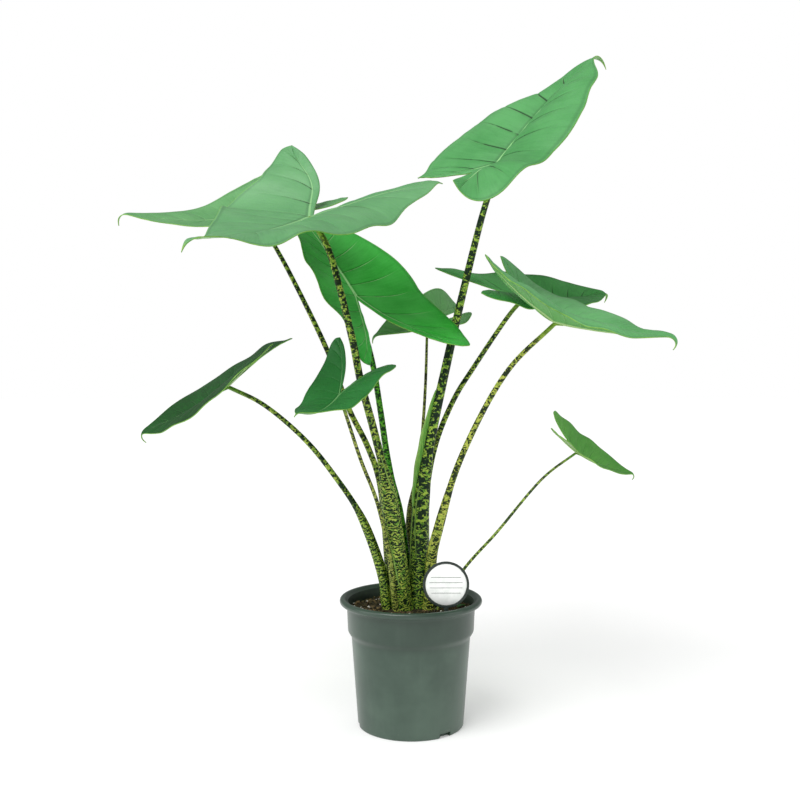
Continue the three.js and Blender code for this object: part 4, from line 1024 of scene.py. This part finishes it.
def makeSoil():
    foot, body, collar = pot["footRadius"], pot["bodyTop"], pot["collarBottom"]
    wall = lambda z: potWall(z) - pot["wall"] - soil["clearance"]
    bottom = pot["channelRise"] + pot["floor"] + 0.3
    edge = wall(soil["level"]) - 0.2
    rings = [edge * (1 - k / soil["rings"]) for k in range(soil["rings"])]
    profile = [(0, bottom), (foot, bottom), (wall(bottom) - 1, bottom), (wall(body) - 0.2, body)]
    profile += [(wall(collar), collar)] + [(r, soil["level"]) for r in rings] + [(0, soil["level"])]
    points, faces = lathe(profile, soil["segments"])
    for p in points:
        if p[2] > soil["level"] - 1:
            p[2] = roughHeight(p[0], p[1])
    finish = soilFinish("potting_soil", (20, 18, 10), (66, 60, 38))
    makePiece("soil", points * mm, faces, [finish], stands=["soil"])


lumpDirections = [Vector(p) for p in ((1, 0, 0), (-1, 0, 0), (0, 1, 0), (0, -1, 0), (0, 0, 1), (0, 0, -1))]


def lump(rng, size, squash):  # an uneven little ball from an octahedron split once
    points = [d.copy() for d in lumpDirections]
    faces = [(0, 2, 4), (2, 1, 4), (1, 3, 4), (3, 0, 4), (2, 0, 5), (1, 2, 5), (3, 1, 5), (0, 3, 5)]
    middles, finer = {}, []
    for a, b, c in faces:
        middle = []
        for p, q in ((a, b), (b, c), (c, a)):
            key = (min(p, q), max(p, q))
            if key not in middles:
                middles[key] = len(points)
                points.append((points[p] + points[q]).normalized())
            middle.append(middles[key])
        p, q, r = middle
        finer += [(a, p, r), (b, q, p), (c, r, q), (p, q, r)]
    turn = Matrix.Rotation(rng.uniform(0, 6.28), 3, "Z") @ Matrix.Rotation(rng.uniform(-0.5, 0.5), 3, "X")
    shape = Vector((size * rng.uniform(0.8, 1.3), size * rng.uniform(0.7, 1.1), size * squash))
    done = [turn @ Vector([p[k] * shape[k] * rng.uniform(0.8, 1.15) for k in range(3)]) for p in points]
    return done, finer


def stalksNear(x, y):
    for leaf in leaves.values():
        (x0, y0, z0), (x1, y1, z1) = leaf["route"][0], leaf["route"][1]
        t = (soil["level"] - z0) / (z1 - z0)
        if math.hypot(x - mix(x0, x1, t), y - mix(y0, y1, t)) < leaf["radius"][0] + 2:
            return True
    return False


def scatter(name, finish):
    rng = random.Random(litter[name]["seed"])
    count, squash = litter[name]["count"], litter[name]["squash"]
    points, faces = [], []
    edge = potWall(soil["level"]) - pot["wall"] - 4
    while count:
        r, a = edge * math.sqrt(rng.random()), rng.uniform(0, 2 * math.pi)
        x, y = r * math.cos(a), r * math.sin(a)
        if stalksNear(x, y):
            continue
        size = rng.uniform(*litter[name]["sizes"])
        balls, tris = lump(rng, size, squash)
        base = Vector((x, y, roughHeight(x, y) + size * squash * (1 - 2 * soil["sink"])))
        faces += [tuple(p + len(points) for p in tri) for tri in tris]
        points += [base + b for b in balls]
        count -= 1
    makePiece(name, np.array([tuple(p) for p in points]) * mm, faces, [finish])


def makeFibres():
    rng = random.Random(41)
    turns = (0, 1.257, 2.513, 3.77, 5.027)
    points, faces = [], []
    edge = potWall(soil["level"]) - pot["wall"] - 8
    for _ in range(soil["fibres"]):
        r, a = edge * math.sqrt(rng.random()), rng.uniform(0, 2 * math.pi)
        x, y, heading = r * math.cos(a), r * math.sin(a), rng.uniform(0, 2 * math.pi)
        bend, radius = rng.uniform(-0.12, 0.12), rng.uniform(0.25, 0.5)
        start = len(points)
        for k in range(soil["fibreSteps"]):
            if math.hypot(x, y) > edge:
                break
            z = roughHeight(x, y) + 0.8 + 1.4 * math.sin(k * 0.29)
            side = Vector((-math.sin(heading), math.cos(heading), 0))
            thin = radius * (1 - 0.05 * k)
            middle = Vector((x, y, z))
            points += [middle + side * thin * math.cos(t) + upright * thin * math.sin(t) for t in turns]
            heading += bend + rng.uniform(-0.15, 0.15)
            x += soil["fibreStep"] * math.cos(heading)
            y += soil["fibreStep"] * math.sin(heading)
        rows = (len(points) - start) // 5
        if rows > 1:
            faces += tubeFaces(rows, 5, start)
        else:
            del points[start:]
    finish = soilFinish("soil_fibres", (70, 54, 34), (132, 104, 66))
    makePiece("soil_fibres", np.array([tuple(p) for p in points]) * mm, faces, [finish])


def makeLeafBit():  # a small dark piece of leaf that has dropped on the soil
    x, y, heading, length, width, rows = leafBit.values()
    points = []
    for k in range(rows):
        t = k / (rows - 1)
        half = width / 2 * math.sin(math.pi * (0.04 + 0.92 * t)) ** 0.7
        run, arch = (t - 0.5) * length, 2.2 * math.sin(math.pi * t) ** 2 + 1.6 * t**3
        for j in range(12):
            share = (j if j < 6 else 11 - j) / 2.5 - 1
            rise = arch + 1.1 * share**2 + (0.35 if j < 6 else -0.35)
            px = x + run * math.cos(heading) - half * share * math.sin(heading)
            py = y + run * math.sin(heading) + half * share * math.cos(heading)
            points.append((px, py, soilHeight(x, y) + 1.4 + rise))
    faces = [f[::-1] for f in tubeFaces(rows, 12)]
    finish = mottled("dropped_leaf", dark=(18, 54, 20), light=(58, 108, 44), gloss=0.35, grain=(260, 3, 0.6),
                     rough=(0.5, 0.2), relief=(0.4, 0.0004))
    makePiece("dropped_leaf_bit", np.array(points) * mm, faces, [finish])


makeSoil()
scatter("soil_crumbs", soilFinish("soil_crumbs", (18, 17, 10), (86, 78, 48)))
scatter("soil_bark", soilFinish("soil_bark", (50, 40, 24), (134, 112, 74)))
scatter("perlite", mottled("perlite", dark=(186, 180, 166), light=(238, 236, 228), gloss=0.3,
                           grain=(700, 3, 0.6), rough=(0.7, 0.2), relief=(0.6, 0.0006)))
makeFibres()
makeLeafBit()
print("soil: with crumbs, bark, perlite and fibres")

# Plant tag

tag = {"at": (50, -58, 223), "radius": 33.5, "rimWidth": 3.6, "rimThickness": 2.2, "cardThickness": 1.2,
       "stakeWidth": 6.5, "stakeFoot": 118, "lean": 4, "lines": 4, "topLine": 10.5, "lineStep": 7.5,
       "bevel": 0.4, "segments": 144, "rimSides": 24, "rows": 24}


def onTag(points):  # from the tag's own flat plane to where it stands
    place = Matrix.Translation(tag["at"]) @ Matrix.Rotation(math.radians(90 - tag["lean"]), 4, "X")
    return np.array([tuple(place @ Vector(p)) for p in points]) * mm


def tagCardFinish():
    finish = Finish("tag_card_plastic", Specular_IOR_Level=0.5)
    place = finish.place()
    tone = finish.noise(place, 160, 3)
    fine = finish.noise(place, 1500, 2)
    colour = finish.blend(finish.step(tone, 0.3, 0.7), paint(236, 240, 236), paint(250, 252, 249))
    return finish.give(Base_Color=colour, Roughness=0.32 + tone * 0.1, Normal=finish.bump(fine, 0.08, 0.0001))


def makeTag():
    plastic = mottled("tag_frame_plastic", dark=(28, 38, 34), light=(44, 56, 50), gloss=0.5, grain=(300, 3),
                      rough=(0.35, 0.15), relief=(0.1, 0.0002))
    inner, outer, half = tag["radius"] - tag["rimWidth"], tag["radius"], tag["rimThickness"] / 2
    count, sides, rows = tag["segments"], tag["rimSides"], tag["rows"]
    box = lambda c: math.copysign(abs(c) ** 0.45, c)
    ring = []
    for k in range(sides):
        a = 2 * math.pi * k / sides
        ring.append(((inner + outer) / 2 + (outer - inner) / 2 * box(math.cos(a)), half * box(math.sin(a))))
    turns = [2 * math.pi * k / count for k in range(count)]
    points = [(r * math.cos(b), r * math.sin(b), z) for b in turns for r, z in ring]
    faces = []
    for k in range(count):
        here, there = sides * k, sides * ((k + 1) % count)
        for j in range(sides):
            n = (j + 1) % sides
            faces.append((there + j, there + n, here + n, here + j))
    # the stake: a long taper with a raised spine
    length = tag["at"][2] - tag["stakeFoot"]
    start = len(points)
    for k in range(rows + 1):
        t = k / rows
        y = mix(-inner - 1, -length, t)
        width = tag["stakeWidth"] / 2 * (1 - t**3 * 0.97)
        thick = half * (1 - t**6 * 0.8)
        edge = thick * 0.8
        points += [(-width, y, -edge), (0, y, -thick), (width, y, -edge)]
        points += [(width, y, edge), (0, y, thick), (-width, y, edge)]
    faces += tubeFaces(rows + 1, 6, start)
    makePiece("tag_frame", onTag(points), faces, [plastic], stands=["tag_frame"])

    radius, thick, bevel = inner - 0.3, tag["cardThickness"] / 2, tag["bevel"]
    profile = [(0, -thick), (radius * 0.5, -thick), (radius - bevel, -thick), (radius, -thick + bevel),
               (radius, thick - bevel), (radius - bevel, thick), (radius * 0.5, thick), (0, thick)]
    points, faces = lathe(profile, count)
    makePiece("tag_card", onTag(points), faces, [tagCardFinish()], stands=["tag_card"])
    # raised writing lines
    points, faces = [], []
    for k in range(tag["lines"]):
        y = tag["topLine"] - k * tag["lineStep"]
        reach = math.sqrt((radius - 5) ** 2 - y**2)
        start = len(points)
        for x, fat in zip(np.linspace(-reach, reach, rows), [0.15] + [0.35] * (rows - 2) + [0.15]):
            points += [(x, y - fat, thick - 0.05), (x, y + fat, thick - 0.05)]
            points += [(x, y + fat * 0.6, thick + 0.16), (x, y - fat * 0.6, thick + 0.16)]
        faces += tubeFaces(rows, 4, start)
    makePiece("tag_lines", onTag(points), faces, [plastic])


makeTag()
print("tag: frame, card and writing lines")

# Rootstock, in the soil

bark = mottled("rootstock_bark", dark=(70, 46, 28), light=(120, 88, 56), gloss=0.3, grain=(60, 4, 0.6),
               rough=(0.8, 0.15), relief=(0.8, 0.002), squeeze=(1, 1, 4))
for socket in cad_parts["corm"].material_slots:
    socket.material = bark
print("rootstock: finished")

# Floor, light and camera

studio = {"worldSeen": 1.0, "worldLight": 0.62, "worldInGloss": 0.3, "floorGlow": 0.24, "floorReach": 9}


def makeFloor():
    reach = studio["floorReach"]
    corners = [(-reach, -reach, 0), (reach, -reach, 0), (reach, reach, 0), (-reach, reach, 0)]
    floor = addObject("floor", corners, [(0, 1, 2, 3)])
    finish = Finish("floor_white", Specular_IOR_Level=0.1, Emission_Strength=studio["floorGlow"])
    tone = finish.noise(finish.place(), 1.5, 2)
    colour = finish.blend(tone, (0.76, 0.76, 0.76, 1), (0.78, 0.78, 0.78, 1))
    floor.data.materials.append(finish.give(Base_Color=colour, Roughness=0.9 + tone * 0.05))
    finish.shader.inputs["Emission Color"].default_value = (1, 1, 1, 1)


view = {"from": (-0.0163, -1.6, 0.573), "down": 3.1, "lens": 48.69, "sensor": 36}  # metres, degrees, mm
sun = {"strength": 1.9, "softness": 38, "from": (-0.55, -0.75, 1.15)}
lamps = {  # place, what it looks at, size, watts, colour
    "left_box": ((-1.7, -0.5, 0.9), (0, 0, 0.4), 1.2, 7, (1.0, 1.0, 1.0)),
    "right_box": ((1.7, -0.6, 0.9), (0, 0, 0.4), 1.2, 5, (1.0, 1.0, 1.0)),
}


def addLight(name, kind, place, target, **values):
    light = bpy.data.lights.new(name, kind)
    for key, value in values.items():
        setattr(light, key, value)
    lamp = bpy.data.objects.new(name, light)
    lamp.location = place
    lamp.rotation_euler = (Vector(target) - Vector(place)).to_track_quat("-Z", "Y").to_euler()
    bpy.context.scene.collection.objects.link(lamp)


def makeWorld():  # white behind the plant, a little softer as a light
    world = bpy.data.worlds.new("studio")
    bpy.context.scene.world = world
    world.use_nodes = True
    tree = world.node_tree
    background = tree.nodes["Background"]
    background.inputs[0].default_value = (1, 1, 1, 1)
    path = tree.nodes.new("ShaderNodeLightPath")
    level = studio["worldLight"]
    for ray, strength in (("Is Glossy Ray", studio["worldInGloss"]), ("Is Camera Ray", studio["worldSeen"])):
        choice = tree.nodes.new("ShaderNodeMix")
        if isinstance(level, float):
            choice.inputs[2].default_value = level
        else:
            tree.links.new(level, choice.inputs[2])
        choice.inputs[3].default_value = strength
        tree.links.new(path.outputs[ray], choice.inputs[0])
        level = choice.outputs[0]
    tree.links.new(level, background.inputs[1])


def makeCamera():
    camera = bpy.data.cameras.new("camera")
    camera.lens, camera.sensor_width = view["lens"], view["sensor"]
    eye = bpy.data.objects.new("camera", camera)
    eye.location = view["from"]
    eye.rotation_euler = (math.radians(90 - view["down"]), 0, 0)
    bpy.context.scene.collection.objects.link(eye)
    bpy.context.scene.camera = eye


makeFloor()
for name, (place, target, size, watts, colour) in lamps.items():
    addLight(name, "AREA", place, target, shape="DISK", size=size, energy=watts, color=colour)
addLight("sun", "SUN", sun["from"], (0, 0, 0), energy=sun["strength"], angle=math.radians(sun["softness"]))
makeCamera()
makeWorld()
bpy.context.scene.view_settings.view_transform = "Standard"
print("studio: floor, lamps and camera")
